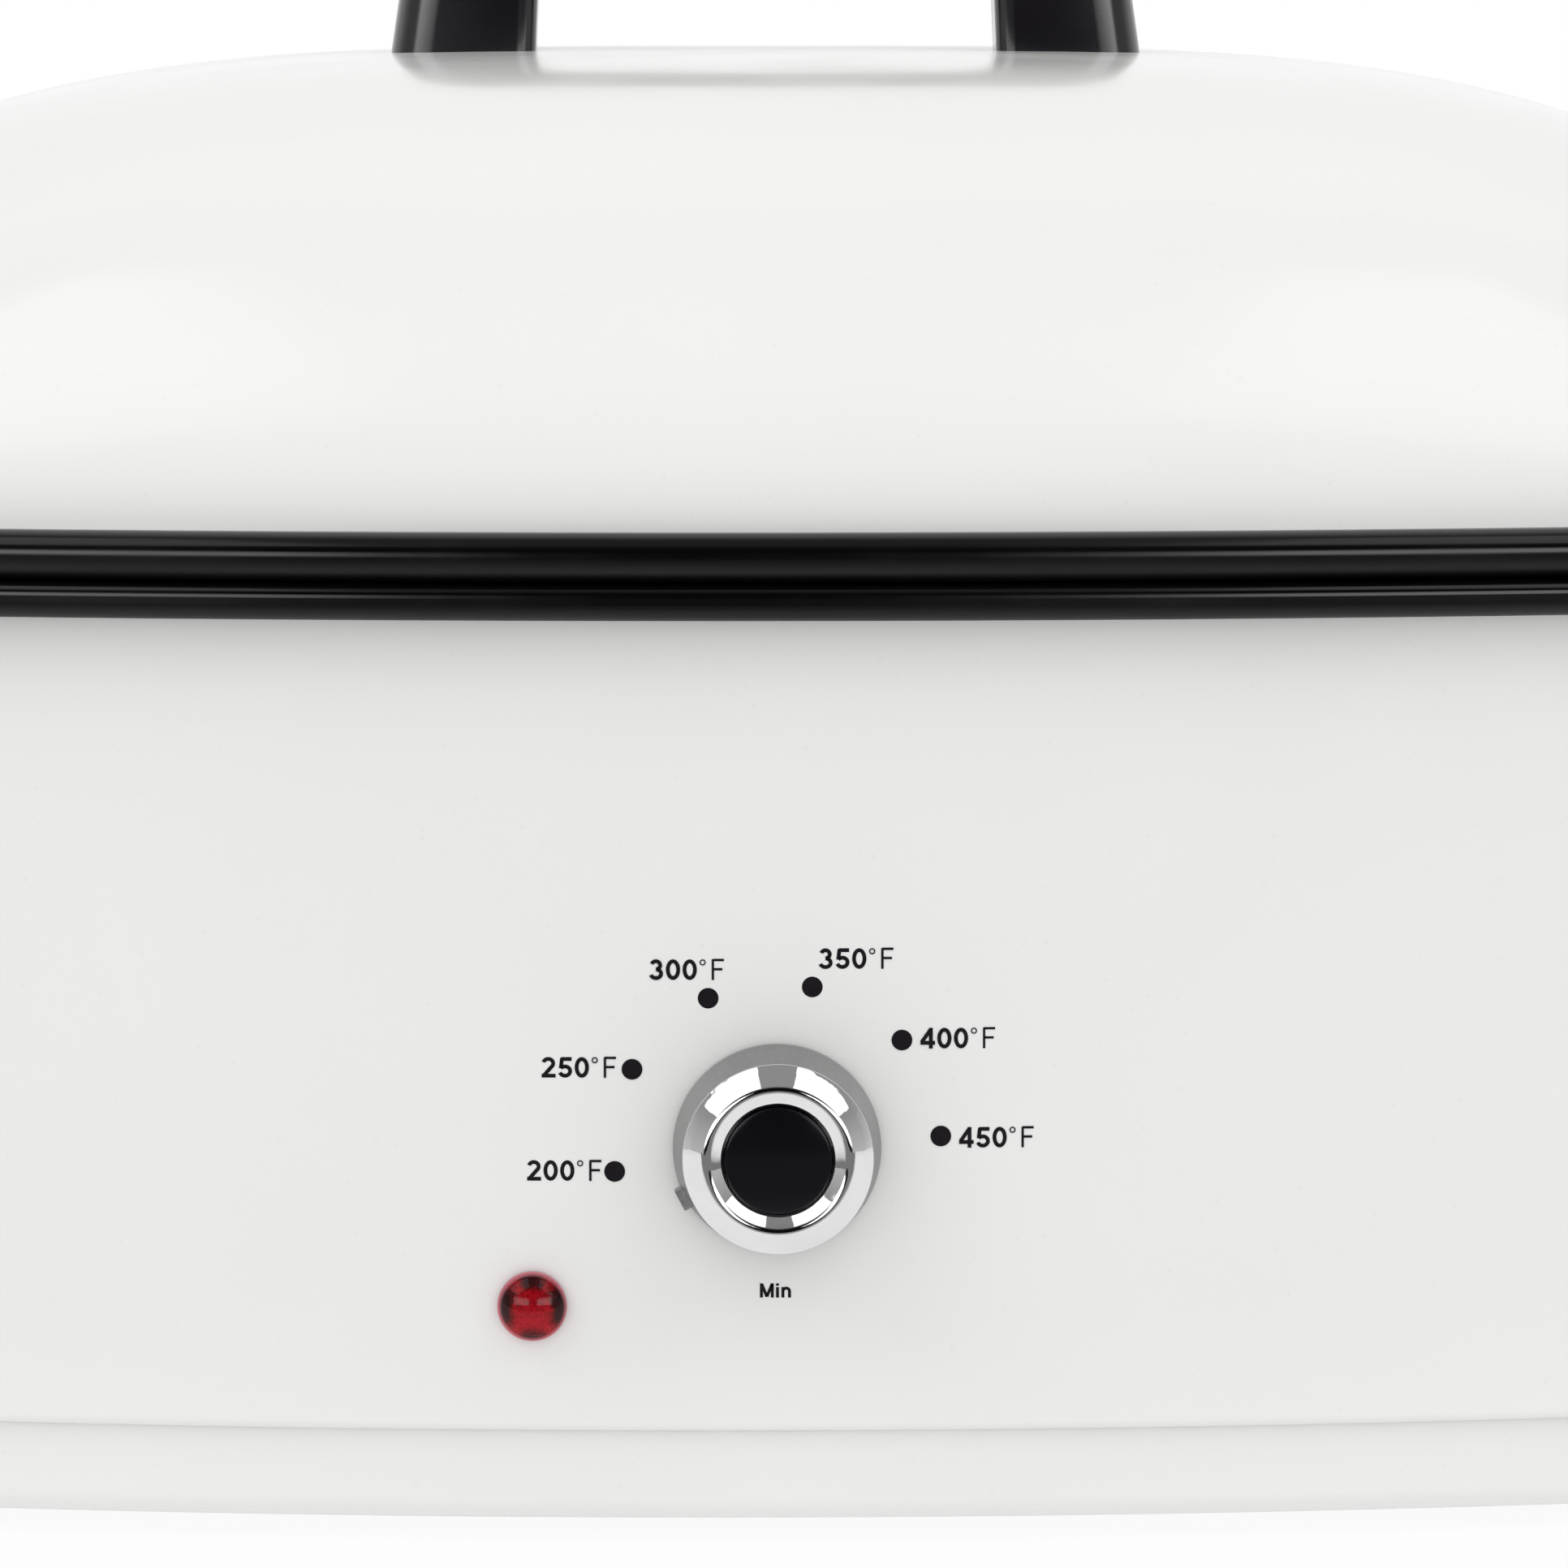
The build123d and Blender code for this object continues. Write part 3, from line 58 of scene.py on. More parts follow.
# The body's front wall, the lid and the rack lie inside the rim and bow about the same upright axis.
SIDE_CENTRE = SIDE_RADIUS - HALF_DEPTH
WALL_RADIUS = SIDE_RADIUS - 0.0095
RACK_RADIUS = SIDE_RADIUS - 0.052
LID_INSET = 0.011

KNOB_HEIGHT = 0.0738
LAMP_SIDE = -0.0447
LAMP_HEIGHT = 0.0444
LENS_RADIUS = 6.35 * MM
INK_PROUD = 0.06 * MM
HANDLE_FOOT = 0.2691
HANDLE_TOP = 0.3099
TURNING_STEPS = 128


def wall_y(x, proud=0.0):
    """Depth of the body's front wall at x, in metres."""
    return SIDE_CENTRE - math.sqrt((WALL_RADIUS + proud) ** 2 - x**2)


def outline_arcs(inset):
    """The outline's eight arcs as (centre, radius, start angle, sweep), anticlockwise."""
    end_x, side_y = HALF_LENGTH - END_RADIUS, HALF_DEPTH - SIDE_RADIUS
    to_side, to_end = SIDE_RADIUS - CORNER_RADIUS, END_RADIUS - CORNER_RADIUS
    apart = math.hypot(end_x, side_y)
    along = (to_end**2 - to_side**2 + apart**2) / (2 * apart)
    aside = math.sqrt(to_end**2 - along**2)
    unit_x, unit_y = -end_x / apart, side_y / apart
    corner_x = end_x + unit_x * along - unit_y * aside
    corner_y = unit_y * along + unit_x * aside
    low = math.atan2(corner_y, corner_x - end_x)
    high = math.atan2(corner_y - side_y, corner_x)
    arcs = []
    for turn, sign in ((0.0, 1), (math.pi, -1)):
        arcs.append((sign * end_x, 0.0, END_RADIUS, turn - low, 2 * low))
        arcs.append((sign * corner_x, sign * corner_y, CORNER_RADIUS, turn + low, high - low))
        arcs.append((0.0, sign * side_y, SIDE_RADIUS, turn + high, math.pi - 2 * high))
        arcs.append((-sign * corner_x, sign * corner_y, CORNER_RADIUS, turn + math.pi - high, high - low))
    return [(x, y, radius - inset, start, sweep) for x, y, radius, start, sweep in arcs]


def outline_loop(inset, steps=48):
    """The outline as a mesh of one closed loop of edges."""
    points = []
    for x, y, radius, start, sweep in outline_arcs(inset):
        for i in range(steps):
            angle = start + sweep * i / steps
            points.append((x + radius * math.cos(angle), y + radius * math.sin(angle), 0.0))
    mesh = bpy.data.meshes.new("outline")
    mesh.from_pydata(points, [(i, (i + 1) % len(points)) for i in range(len(points))], [])
    return mesh


# ------------------------------------------------------------------ node trees
class Term:
    """A node's output that takes part in Python expressions."""

    def __init__(self, tree, socket):
        self.tree = tree
        self.socket = socket

    def math(self, operation, other=0.0, swap=False):
        first, second = (other, self) if swap else (self, other)
        return self.tree.node("ShaderNodeMath", {0: first, 1: second}, operation=operation)

    def __add__(self, other):
        return self.math("ADD", other)

    def __radd__(self, other):
        return self.math("ADD", other, True)

    def __sub__(self, other):
        return self.math("SUBTRACT", other)

    def __rsub__(self, other):
        return self.math("SUBTRACT", other, True)

    def __mul__(self, other):
        return self.math("MULTIPLY", other)

    def __rmul__(self, other):
        return self.math("MULTIPLY", other, True)

    def __truediv__(self, other):
        return self.math("DIVIDE", other)

    def __rtruediv__(self, other):
        return self.math("DIVIDE", other, True)

    def __pow__(self, other):
        return self.math("POWER", other)

    def output(self, name):
        """Another output of the same node."""
        return Term(self.tree, self.socket.node.outputs[name])

    def band(self, low, high, start=0.0, end=1.0):
        """Runs from start to end as the value goes from low to high, and stays there."""
        values = {"Value": self, "From Min": low, "From Max": high, "To Min": start, "To Max": end}
        return self.tree.node("ShaderNodeMapRange", values, clamp=True)


class Tree:
    """Adds nodes to one material, world or geometry tree."""

    def __init__(self, owner):
        self.owner = owner

    def node(self, kind, values=None, out=0, stops=None, **settings):
        """Adds a node: its settings first, then the values or links of its sockets."""
        node = self.owner.nodes.new(kind)
        for name, value in settings.items():
            setattr(node, name, value)
        if stops:
            ramp = node.color_ramp.elements
            ramp.remove(ramp[-1])
            ramp[0].position, ramp[0].color = stops[0]
            for position, colour in stops[1:]:
                ramp.new(position).color = colour
        for key, value in (values or {}).items():
            if isinstance(value, Term):
                self.owner.links.new(value.socket, node.inputs[key])
            else:
                node.inputs[key].default_value = value
        return Term(self, node.outputs[out] if len(node.outputs) else None)

    def place(self):
        return self.node("ShaderNodeTexCoord", out="Object")

    def axes(self, vector):
        first = self.node("ShaderNodeSeparateXYZ", {0: vector})
        return first, first.output("Y"), first.output("Z")

    def stretched(self, scale, about=(0.0, 0.0, 0.0)):
        """Object coordinates moved to a centre and scaled along each axis."""
        moved = {"Vector": self.place(), "Location": [-a * s for a, s in zip(about, scale)], "Scale": scale}
        return self.node("ShaderNodeMapping", moved)

    def noise(self, scale, detail=2.0, vector=None, distortion=0.0):
        values = {"Vector": vector or self.place(), "Scale": scale, "Detail": detail,
                  "Distortion": distortion}
        return self.node("ShaderNodeTexNoise", values, out="Fac")

    def cells(self, scale, out="Distance"):
        return self.node("ShaderNodeTexVoronoi", {"Vector": self.place(), "Scale": scale}, out=out)

    def mix(self, factor, first, second):
        """Blends two colours."""
        values = {0: factor, 6: first, 7: second}
        return self.node("ShaderNodeMix", values, out=2, data_type="RGBA", clamp_factor=True)

    def bump(self, height, depth):
        return self.node("ShaderNodeBump", {"Height": height, "Distance": depth, "Strength": 1.0})

    def surface(self, colour, roughness, normal=None, **constants):
        """The shader and the material's output; a constant's name has _ for its spaces."""
        values = {"Base Color": colour, "Roughness": roughness}
        if normal is not None:
            values["Normal"] = normal
        for name, value in constants.items():
            values[name.replace("_", " ")] = value
        shader = self.node("ShaderNodeBsdfPrincipled", values)
        self.node("ShaderNodeOutputMaterial", {"Surface": shader})
        return shader


def rgba(colour, gain=1.0):
    return [min(1.0, c * gain) for c in colour[:3]] + [1.0]


def new_material(name, colour):
    material = bpy.data.materials.new(name)
    material.use_nodes = True
    material.node_tree.nodes.clear()
    material.diffuse_color = rgba(colour)
    return material, Tree(material.node_tree)


# ------------------------------------------------------------------ finishes
def gloss_enamel(name, colour, grime, peel, rough, coat, index=1.5, matt_under=0.0):
    """Fired or baked gloss enamel: a slight orange peel, clouding, pinholes and duller undersides."""
    material, tree = new_material(name, colour)
    cloud = tree.noise(9.0, 3.0)
    ripple = tree.noise(260.0, 2.0)
    pin = tree.cells(190.0).band(0.05, 0.1)
    tone = cloud.band(0.3, 0.7, 1.0 - grime, 1.0) * pin.band(0.0, 1.0, 0.97, 1.0)
    base = tree.mix(tone, rgba((0.0, 0.0, 0.0)), rgba(colour))
    facing_up = tree.axes(tree.node("ShaderNodeTexCoord", out="Normal"))[2]
    smear = tree.noise(38.0, 4.0).band(0.4, 0.75, rough, rough + 0.07)
    smear = smear + facing_up.band(0.1, -0.3) * matt_under
    height = ripple * 0.7 + tree.noise(900.0, 1.0) * 0.12 + pin * 0.1
    tree.surface(base, smear, tree.bump(height, peel * MM), Coat_Weight=coat, Coat_Roughness=0.04, IOR=index)
    return material


def moulded(name, colour, rough, speck=0.25, depth=0.012, **constants):
    """Moulded plastic, rubber or ceramic: fine grain, a few lighter specks, faint handling marks."""
    material, tree = new_material(name, colour)
    grain = 1400.0
    fine = tree.noise(grain, 3.0)
    patch = tree.noise(45.0, 3.0)
    fleck = tree.cells(grain * 0.5, out="Color").band(0.82, 0.95)
    base = tree.mix(fleck * speck + patch.band(0.45, 0.8, 0.0, speck * 0.6), rgba(colour), rgba(colour, 1.9))
    roughness = patch.band(0.3, 0.7, *rough) + fine * 0.03
    tree.surface(base, roughness, tree.bump(fine, depth * MM), **constants)
    return material


def metal(name, colour, rough, brush=(30.0, 900.0, 900.0), dull=0.75, spangle=0.0):
    """Plated or rolled metal: brushed one way, with duller patches and, on coated sheet, crystals."""
    material, tree = new_material(name, colour)
    lines = tree.noise(1.0, 4.0, tree.stretched(brush))
    patch = tree.noise(30.0, 4.0, distortion=0.6)
    crystal = tree.cells(110.0, out="Color").band(0.1, 0.9)
    tone = patch.band(0.35, 0.75) * 0.5 + lines * 0.25 + crystal * spangle
    base = tree.mix(tone, rgba(colour), rgba(colour, dull))
    roughness = patch.band(0.3, 0.7, *rough) + lines * 0.06 + crystal * (spangle * 0.12)
    tree.surface(base, roughness, tree.bump(lines, 0.01 * MM), Metallic=1.0)
    return material


def woven(name, colour, pitch, rough=0.85):
    """Fibre felt or braided sleeving: crossing strands over loose tufts."""
    material, tree = new_material(name, colour)
    x, y, z = tree.axes(tree.place())
    turn = 2 * math.pi / (pitch * MM)
    strands = ((x + z) * turn).math("SINE") * ((y - z) * turn).math("SINE")
    tuft = tree.noise(320.0, 5.0, distortion=1.2)
    tone = strands.band(-1.0, 1.0) * 0.45 + tuft * 0.55
    base = tree.mix(tone, rgba(colour, 0.62), rgba(colour))
    tree.surface(base, tuft.band(0.2, 0.8, rough - 0.1, rough + 0.08), tree.bump(tone, 0.25 * MM))
    return material


def silver_paint(name, colour):
    """Satin silver lacquer on plastic: small bright and dark flakes."""
    material, tree = new_material(name, colour)
    flake = tree.cells(3600.0, out="Color").band(0.0, 1.0)
    wide = tree.noise(1500.0, 2.0)
    tone = flake * 0.55 + wide * 0.45
    base = tree.mix(tone, rgba(colour, 0.7), rgba(colour, 1.35))
    height = tree.noise(2600.0, 2.0)
    tree.surface(base, tone.band(0.2, 0.8, 0.34, 0.48), tree.bump(height, 0.02 * MM), Metallic=0.8)
    return material


def mirror_plate(name, colour):
    """Bright chrome plate with faint wiping marks."""
    material, tree = new_material(name, colour)
    wipe = tree.noise(60.0, 5.0, distortion=0.8)
    base = tree.mix(wipe.band(0.4, 0.8), rgba(colour), rgba(colour, 0.93))
    wave = tree.noise(240.0, 2.0) + wipe * 0.1
    tree.surface(base, wipe.band(0.35, 0.8, 0.02, 0.07), tree.bump(wave, 0.05 * MM), Metallic=1.0)
    return material


def faceted_red(name, colour):
    """Translucent red lamp lens: prisms moulded inside it, painted shade in patches at its left and right and
    at its top and bottom, a painted glow below and a painted pale highlight round its edge.
    """
    material, tree = new_material(name, colour)
    x, _, z = tree.axes(tree.stretched((1.0, 1.0, 1.0), (LAMP_SIDE, 0.0, LAMP_HEIGHT)))
    reach = (x * x + z * z) ** 0.5 / LENS_RADIUS
    around = z.math("ARCTAN2", x)
    # Painted shade: a ring of the lens darkened in patches at the left and right and, less, at the top and
    # bottom.
    band = reach.band(0.5, 0.72) * reach.band(0.98, 0.9)
    painted_side_shade = band * (around * 2.0).math("COSINE").band(-0.2, 0.75)
    painted_top_bottom_shade = band * (around * 2.0).math("COSINE").band(-0.45, -0.9) * 0.8
    pitch = 2 * math.pi / (0.75 * MM)
    prism = ((x + z) * pitch).math("SINE") * ((x - z) * pitch).math("SINE")
    grain = tree.cells(2200.0, out="Color").band(0.2, 0.9)
    # Painted glow: the lens turns a brighter red towards its bottom.
    lower = (z / LENS_RADIUS).band(0.15, -0.35)
    # Prisms and grain are moulded in; the patches and the brightening below are painted shade and painted
    # glow.
    shade = painted_side_shade * 0.6 + painted_top_bottom_shade * 0.6 + prism.band(-0.5, 0.5, -0.1, 0.1) + grain * 0.25 - lower * 0.2
    ramp = [(0.0, (0.42, 0.004, 0.012, 1.0)), (0.3, (0.24, 0.0, 0.004, 1.0)),
            (0.6, (0.04, 0.0, 0.001, 1.0)), (1.0, (0.004, 0.0, 0.001, 1.0))]
    base = tree.node("ShaderNodeValToRGB", {"Fac": shade.band(-0.2, 0.85)}, stops=ramp)
    # Painted highlight: a pale pinkish line round the lens's edge.
    edge = reach.band(0.88, 0.99)
    base = tree.mix(edge * 0.5, base, rgba((0.8, 0.3, 0.36)))
    height = prism * (1.0 - edge) + grain * 0.3
    tree.surface(base, grain.band(0.0, 1.0, 0.3, 0.2), tree.bump(height, 0.01 * MM), IOR=1.15,
                 Coat_Weight=0.35, Coat_Roughness=0.02)
    return material


def clear_glass(name, colour):
    material, tree = new_material(name, colour)
    film = tree.noise(120.0, 3.0)
    base = tree.mix(film, rgba(colour), rgba(colour, 0.9))
    tree.surface(base, film.band(0.3, 0.8, 0.02, 0.08), Transmission_Weight=0.85, IOR=1.5)
    return material


def ink(name, colour):
    """Screen-printed ink, a little uneven at its edges."""
    material, tree = new_material(name, colour)
    wear = tree.noise(2200.0, 3.0)
    base = tree.mix(wear.band(0.35, 0.75), rgba(colour), rgba(colour, 1.8))
    tree.surface(base, wear.band(0.3, 0.7, 0.4, 0.55), tree.bump(wear, 0.004 * MM), IOR=1.25)
    return material


# ------------------------------------------------------------------ making and dressing
def dress(material, *names):
    """Gives CAD nodes a material in place of the plain one."""
    for name in names:
        slots = NODES[name].data.materials
        slots.clear()
        slots.append(material)


def new_piece(name, mesh, body):
    """A finished mesh as an object that rides on a body."""
    mesh.name = name
    piece = bpy.data.objects.new(name, mesh)
    bpy.context.scene.collection.objects.link(piece)
    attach(piece, body)
    return piece


def geometry_tree(name, inputs):
    """An empty geometry tree with named inputs, and those inputs as terms."""
    group = bpy.data.node_groups.new(name, "GeometryNodeTree")
    group.interface.new_socket("Geometry", in_out="OUTPUT", socket_type="NodeSocketGeometry")
    group.interface.new_socket("Path", in_out="INPUT", socket_type="NodeSocketGeometry")
    for label, kind, default in inputs + [("Material", "NodeSocketMaterial", None)]:
        socket = group.interface.new_socket(label, in_out="INPUT", socket_type=kind)
        if default is not None:
            socket.default_value = default
    tree = Tree(group)
    entry = group.nodes.new("NodeGroupInput")
    return tree, {socket.name: Term(tree, socket) for socket in entry.outputs if socket.name}


def end_tree(tree, geometry, material, rounded=True):
    """Closes a geometry tree with its instances made real and its material set."""
    real = tree.node("GeometryNodeRealizeInstances", {0: geometry})
    smooth = tree.node("GeometryNodeSetShadeSmooth", {"Geometry": real, "Shade Smooth": rounded})
    done = tree.node("GeometryNodeSetMaterial", {"Geometry": smooth, "Material": material})
    exit_node = tree.owner.nodes.new("NodeGroupOutput")
    tree.owner.links.new(done.socket, exit_node.inputs[0])


def face_outwards(mesh):
    """Turns round each closed island of a mesh whose faces point inwards."""
    form = bmesh.new()
    form.from_mesh(mesh)
    left = set(form.verts)
    while left:
        island, edge = set(), [left.pop()]
        while edge:
            vertex = edge.pop()
            island.add(vertex)
            near = {e.other_vert(vertex) for e in vertex.link_edges} & left
            left -= near
            edge.extend(near)
        faces = {face for vertex in island for face in vertex.link_faces}
        volume = 0.0
        for face in faces:
            corners = [v.co for v in face.verts]
            for second, third in zip(corners[1:], corners[2:]):
                volume += corners[0].dot(second.cross(third))
        if volume < 0:
            bmesh.ops.reverse_faces(form, faces=list(faces))
    form.to_mesh(mesh)
    form.free()


def grow(name, tree, material, values=None, path=None):
    """Runs a geometry tree once, along a path if it has one, and returns the result as a plain mesh."""
    seed = bpy.data.objects.new(name, path or bpy.data.meshes.new(name))
    bpy.context.scene.collection.objects.link(seed)
    modifier = seed.modifiers.new(name, "NODES")
    modifier.node_group = tree.owner
    values = dict(values or {}, Material=material)
    for item in tree.owner.interface.items_tree:
        if item.in_out == "INPUT" and item.name in values:
            modifier[item.identifier] = values[item.name]
    graph = bpy.context.evaluated_depsgraph_get()
    mesh = bpy.data.meshes.new_from_object(seed.evaluated_get(graph), depsgraph=graph)
    if not mesh.polygons:
        raise RuntimeError(f"the geometry tree of {name} made nothing")
    seed.modifiers.remove(modifier)
    bpy.data.objects.remove(seed)
    face_outwards(mesh)
    return mesh


def lid_tree():
    """Domed lid: rows of the outline, drawn in and raised by the rule of its shoulder, over a rolled edge."""
    tree, given = geometry_tree("domed_lid", [
        ("Edge Height", "NodeSocketFloat", 0.1833), ("Rise", "NodeSocketFloat", 0.0863),
        ("Squareness", "NodeSocketFloat", 4.2), ("Shoulder", "NodeSocketFloat", 0.74),
        ("Sheet", "NodeSocketFloat", 0.0009), ("Bead", "NodeSocketFloat", 0.002),
        ("Bead Scale", "NodeSocketFloat", 0.992), ("Columns", "NodeSocketInt", 321),
        ("Rows", "NodeSocketInt", 121)])
    path = tree.node("GeometryNodeMeshToCurve", {0: given["Path"]})
    sheet = tree.node("GeometryNodeMeshGrid", {"Size X": 1.0, "Size Y": 1.0, "Vertices X": given["Columns"],
                                               "Vertices Y": given["Rows"]})
    around, down, _ = tree.axes(tree.node("GeometryNodeInputPosition"))
    edge = tree.node("GeometryNodeSampleCurve", {"Curves": path, "Factor": around + 0.5}, out="Position")
    edge_x, edge_y, _ = tree.axes(edge)
    angle = (down * 2.0).math("ABSOLUTE") * (math.pi / 2)
    inside = down.math("GREATER_THAN", 0.0) * given["Sheet"]
    level = angle.math("COSINE").math("MAXIMUM") ** (2.0 / given["Squareness"])
    climb = angle.math("SINE").math("MAXIMUM") ** (2.0 * given["Shoulder"])
    drawn_in = level * (1.0 - inside / HALF_DEPTH)
    raised = climb * (given["Rise"] - inside)
    place = tree.node("ShaderNodeCombineXYZ", {0: edge_x * drawn_in, 1: edge_y * drawn_in,
                                               2: raised + given["Edge Height"]})
    dome = tree.node("GeometryNodeSetPosition", {"Geometry": sheet, "Position": place})
    dome = tree.node("GeometryNodeMergeByDistance", {"Geometry": dome, "Distance": 0.01 * MM})
    whole = tree.node("GeometryNodeInputPosition")
    low = tree.node("ShaderNodeCombineXYZ", {2: given["Edge Height"]})
    shrunk = tree.node("ShaderNodeVectorMath", {0: whole, 3: given["Bead Scale"]}, operation="SCALE")
    rolled = tree.node("ShaderNodeVectorMath", {0: shrunk, 1: low}, operation="ADD")
    rim = tree.node("GeometryNodeSetPosition", {"Geometry": path, "Position": rolled})
    round_bar = tree.node("GeometryNodeCurvePrimitiveCircle", {"Resolution": 20, "Radius": given["Bead"]})
    bead = tree.node("GeometryNodeCurveToMesh", {"Curve": rim, "Profile Curve": round_bar})
    both = tree.node("GeometryNodeJoinGeometry", {0: dome})
    tree.owner.links.new(bead.socket, both.socket.node.inputs[0])
    end_tree(tree, both, given["Material"])
    return tree


def finished(form, name, sharp=None):
    """A bmesh as a mesh: faces outwards, and smooth up to a sharp angle in degrees if one is given."""
    bmesh.ops.recalc_face_normals(form, faces=form.faces)
    for face in form.faces:
        face.smooth = sharp is not None
    mesh = bpy.data.meshes.new(name)
    form.to_mesh(mesh)
    form.free()
    if sharp is not None:
        mesh.set_sharp_from_angle(angle=math.radians(sharp))
    return mesh


def rounded(before, corner, after, radius, steps=10):
    """Points of the arc that eases a corner of a profile."""
    corner = Vector(corner)
    into, out = (Vector(before) - corner).normalized(), (Vector(after) - corner).normalized()
    half = into.angle(out) / 2
    centre = corner + (into + out).normalized() * (radius / math.sin(half))
    touch = radius / math.tan(half)
    start, end = corner + into * touch - centre, corner + out * touch - centre
    turn = start.angle_signed(end)
    return [tuple(centre + Matrix.Rotation(-turn * i / steps, 2) @ start) for i in range(steps + 1)]


def turned(name, profile):
    """A piece turned about the knob's axis from a closed profile of (radius, height over the wall) points."""
    form = bmesh.new()
    front = wall_y(0.0)
    points = [form.verts.new((r, front - h, KNOB_HEIGHT)) for r, h in profile]
    edges = [form.edges.new(pair) for pair in zip(points, points[1:] + points[:1])]
    bmesh.ops.spin(form, geom=points + edges, cent=(0.0, 0.0, KNOB_HEIGHT), axis=(0.0, 1.0, 0.0),
                   angle=2 * math.pi, steps=TURNING_STEPS)
    bmesh.ops.remove_doubles(form, verts=form.verts, dist=1e-6)
    bmesh.ops.dissolve_degenerate(form, edges=form.edges, dist=1e-7)
    return finished(form, name, sharp=30)


def arched_handle():
    """The lid's handle: an arch on two posts, well rounded outside and less so round the grip."""
    crown, half, lean, thick = 3 * MM, 75 * MM, 5.5 * MM, 26 * MM
    grip, draft, bar = 46 * MM, 1 * MM, 14 * MM
    outer_corner, grip_corner, outer_edge, grip_edge = 17 * MM, 9 * MM, 8.5 * MM, 4 * MM
    low, shoulder = HANDLE_FOOT, HANDLE_TOP - crown
    middle, under = (0.0, HANDLE_TOP), (0.0, HANDLE_TOP - bar)
    outer = rounded((-half, low), (lean - half, shoulder), middle, outer_corner) + [middle]
    outer += rounded(middle, (half - lean, shoulder), (half, low), outer_corner)
    inner = rounded((-grip, low), (draft - grip, shoulder - bar), under, grip_corner) + [under]
    inner += rounded(under, (grip - draft, shoulder - bar), (grip, low), grip_corner)
    inner = [(round(x, 6), round(z, 6)) for x, z in inner]
    outline = [(-half, low), *outer, (half, low), (grip, low), *reversed(inner), (-grip, low)]
    form = bmesh.new()
    face = form.faces.new([form.verts.new((x, -thick / 2, z)) for x, z in outline])
    pushed = bmesh.ops.extrude_face_region(form, geom=[face])["geom"]
    far = [v for v in pushed if isinstance(v, bmesh.types.BMVert)]
    bmesh.ops.translate(form, vec=(0.0, thick, 0.0), verts=far)

    # The sharp edges along the front and back are eased, but not those of the feet.
    near_grip = set(inner + [(-grip, low), (grip, low)])
    widths = {}
    for edge in form.edges:
        inside = all((round(v.co.x, 6), round(v.co.z, 6)) in near_grip for v in edge.verts)
        widths[edge] = grip_edge if inside else outer_edge
    for width in (outer_edge, grip_edge):
        edges = [e for e, w in widths.items() if w == width and e.is_valid
                 and abs(e.verts[0].co.y - e.verts[1].co.y) < 1e-6
                 and max(v.co.z for v in e.verts) > low + 1e-6]
        bmesh.ops.bevel(form, geom=edges, offset=width, offset_type="OFFSET", segments=7, profile=0.5,
                        affect="EDGES", clamp_overlap=True)
    return finished(form, "lid_arch", sharp=35)


def cap_profile(radius, bottom, edge, crown, steps=24):
    """Crowned disc with an eased edge, as points from its axis and back to it."""
    sphere = (radius**2 + (crown - edge) ** 2) / (2 * (crown - edge))
    ease = 0.04 * radius
    rings = [radius * i / steps for i in range(steps - 1)]
    top = [(r, crown - sphere + math.sqrt(sphere**2 - r**2)) for r in rings]
    shoulder = rounded((radius, bottom), (radius, edge), top[-1], ease)
    return [(0.0, bottom), (radius, bottom), *shoulder, *reversed(top)]


def bezel_profile(lip, crest, hole):
    """Bright ring: an outer lip, a bevel, a rounded crest and a dish down to its hole."""
    lip_low, lip_high, top, dish, back = 15.5 * MM, 17.0 * MM, 21.2 * MM, 18.9 * MM, 13.2 * MM
    seat, lip_radius, crest_radius = 16.6 * MM, 0.25 * MM, 1.5 * MM
    outer = [(hole, back), (seat, back), (lip, lip_low)]
    ease = rounded((lip, lip_low), (lip, lip_high), (crest, top), lip_radius, steps=4)
    bead = rounded((lip, lip_high), (crest, top), (hole, dish), crest_radius, steps=16)
    return outer + ease + bead + [(hole, dish)]


def dots_tree():
    """Printed dots on the bowed wall, an even step apart round the knob."""
    tree, given = geometry_tree("dial_dots", [
        ("Count", "NodeSocketInt", 6), ("Ring Radius", "NodeSocketFloat", 0.03),
        ("First Angle", "NodeSocketFloat", math.radians(188.9)),
        ("Step", "NodeSocketFloat", math.radians(37.1)),
        ("Dot Radius", "NodeSocketFloat", 0.0019), ("Thickness", "NodeSocketFloat", INK_PROUD)])
    index = tree.node("GeometryNodeInputIndex")
    angle = given["First Angle"] - index * given["Step"]
    x = angle.math("COSINE") * given["Ring Radius"]
    z = angle.math("SINE") * given["Ring Radius"] + KNOB_HEIGHT
    y = SIDE_CENTRE - (WALL_RADIUS**2 - x * x) ** 0.5
    place = tree.node("ShaderNodeCombineXYZ", {0: x, 1: y, 2: z})
    points = tree.node("GeometryNodePoints", {"Count": given["Count"], "Position": place})
    disc = tree.node("GeometryNodeMeshCylinder", {"Vertices": 40, "Radius": given["Dot Radius"],
                                                  "Depth": given["Thickness"]})
    turn = tree.node("ShaderNodeCombineXYZ", {0: math.pi / 2, 2: x / WALL_RADIUS})
    spots = tree.node("GeometryNodeInstanceOnPoints", {"Points": points, "Instance": disc, "Rotation": turn})
    end_tree(tree, spots, given["Material"], rounded=False)
    return tree


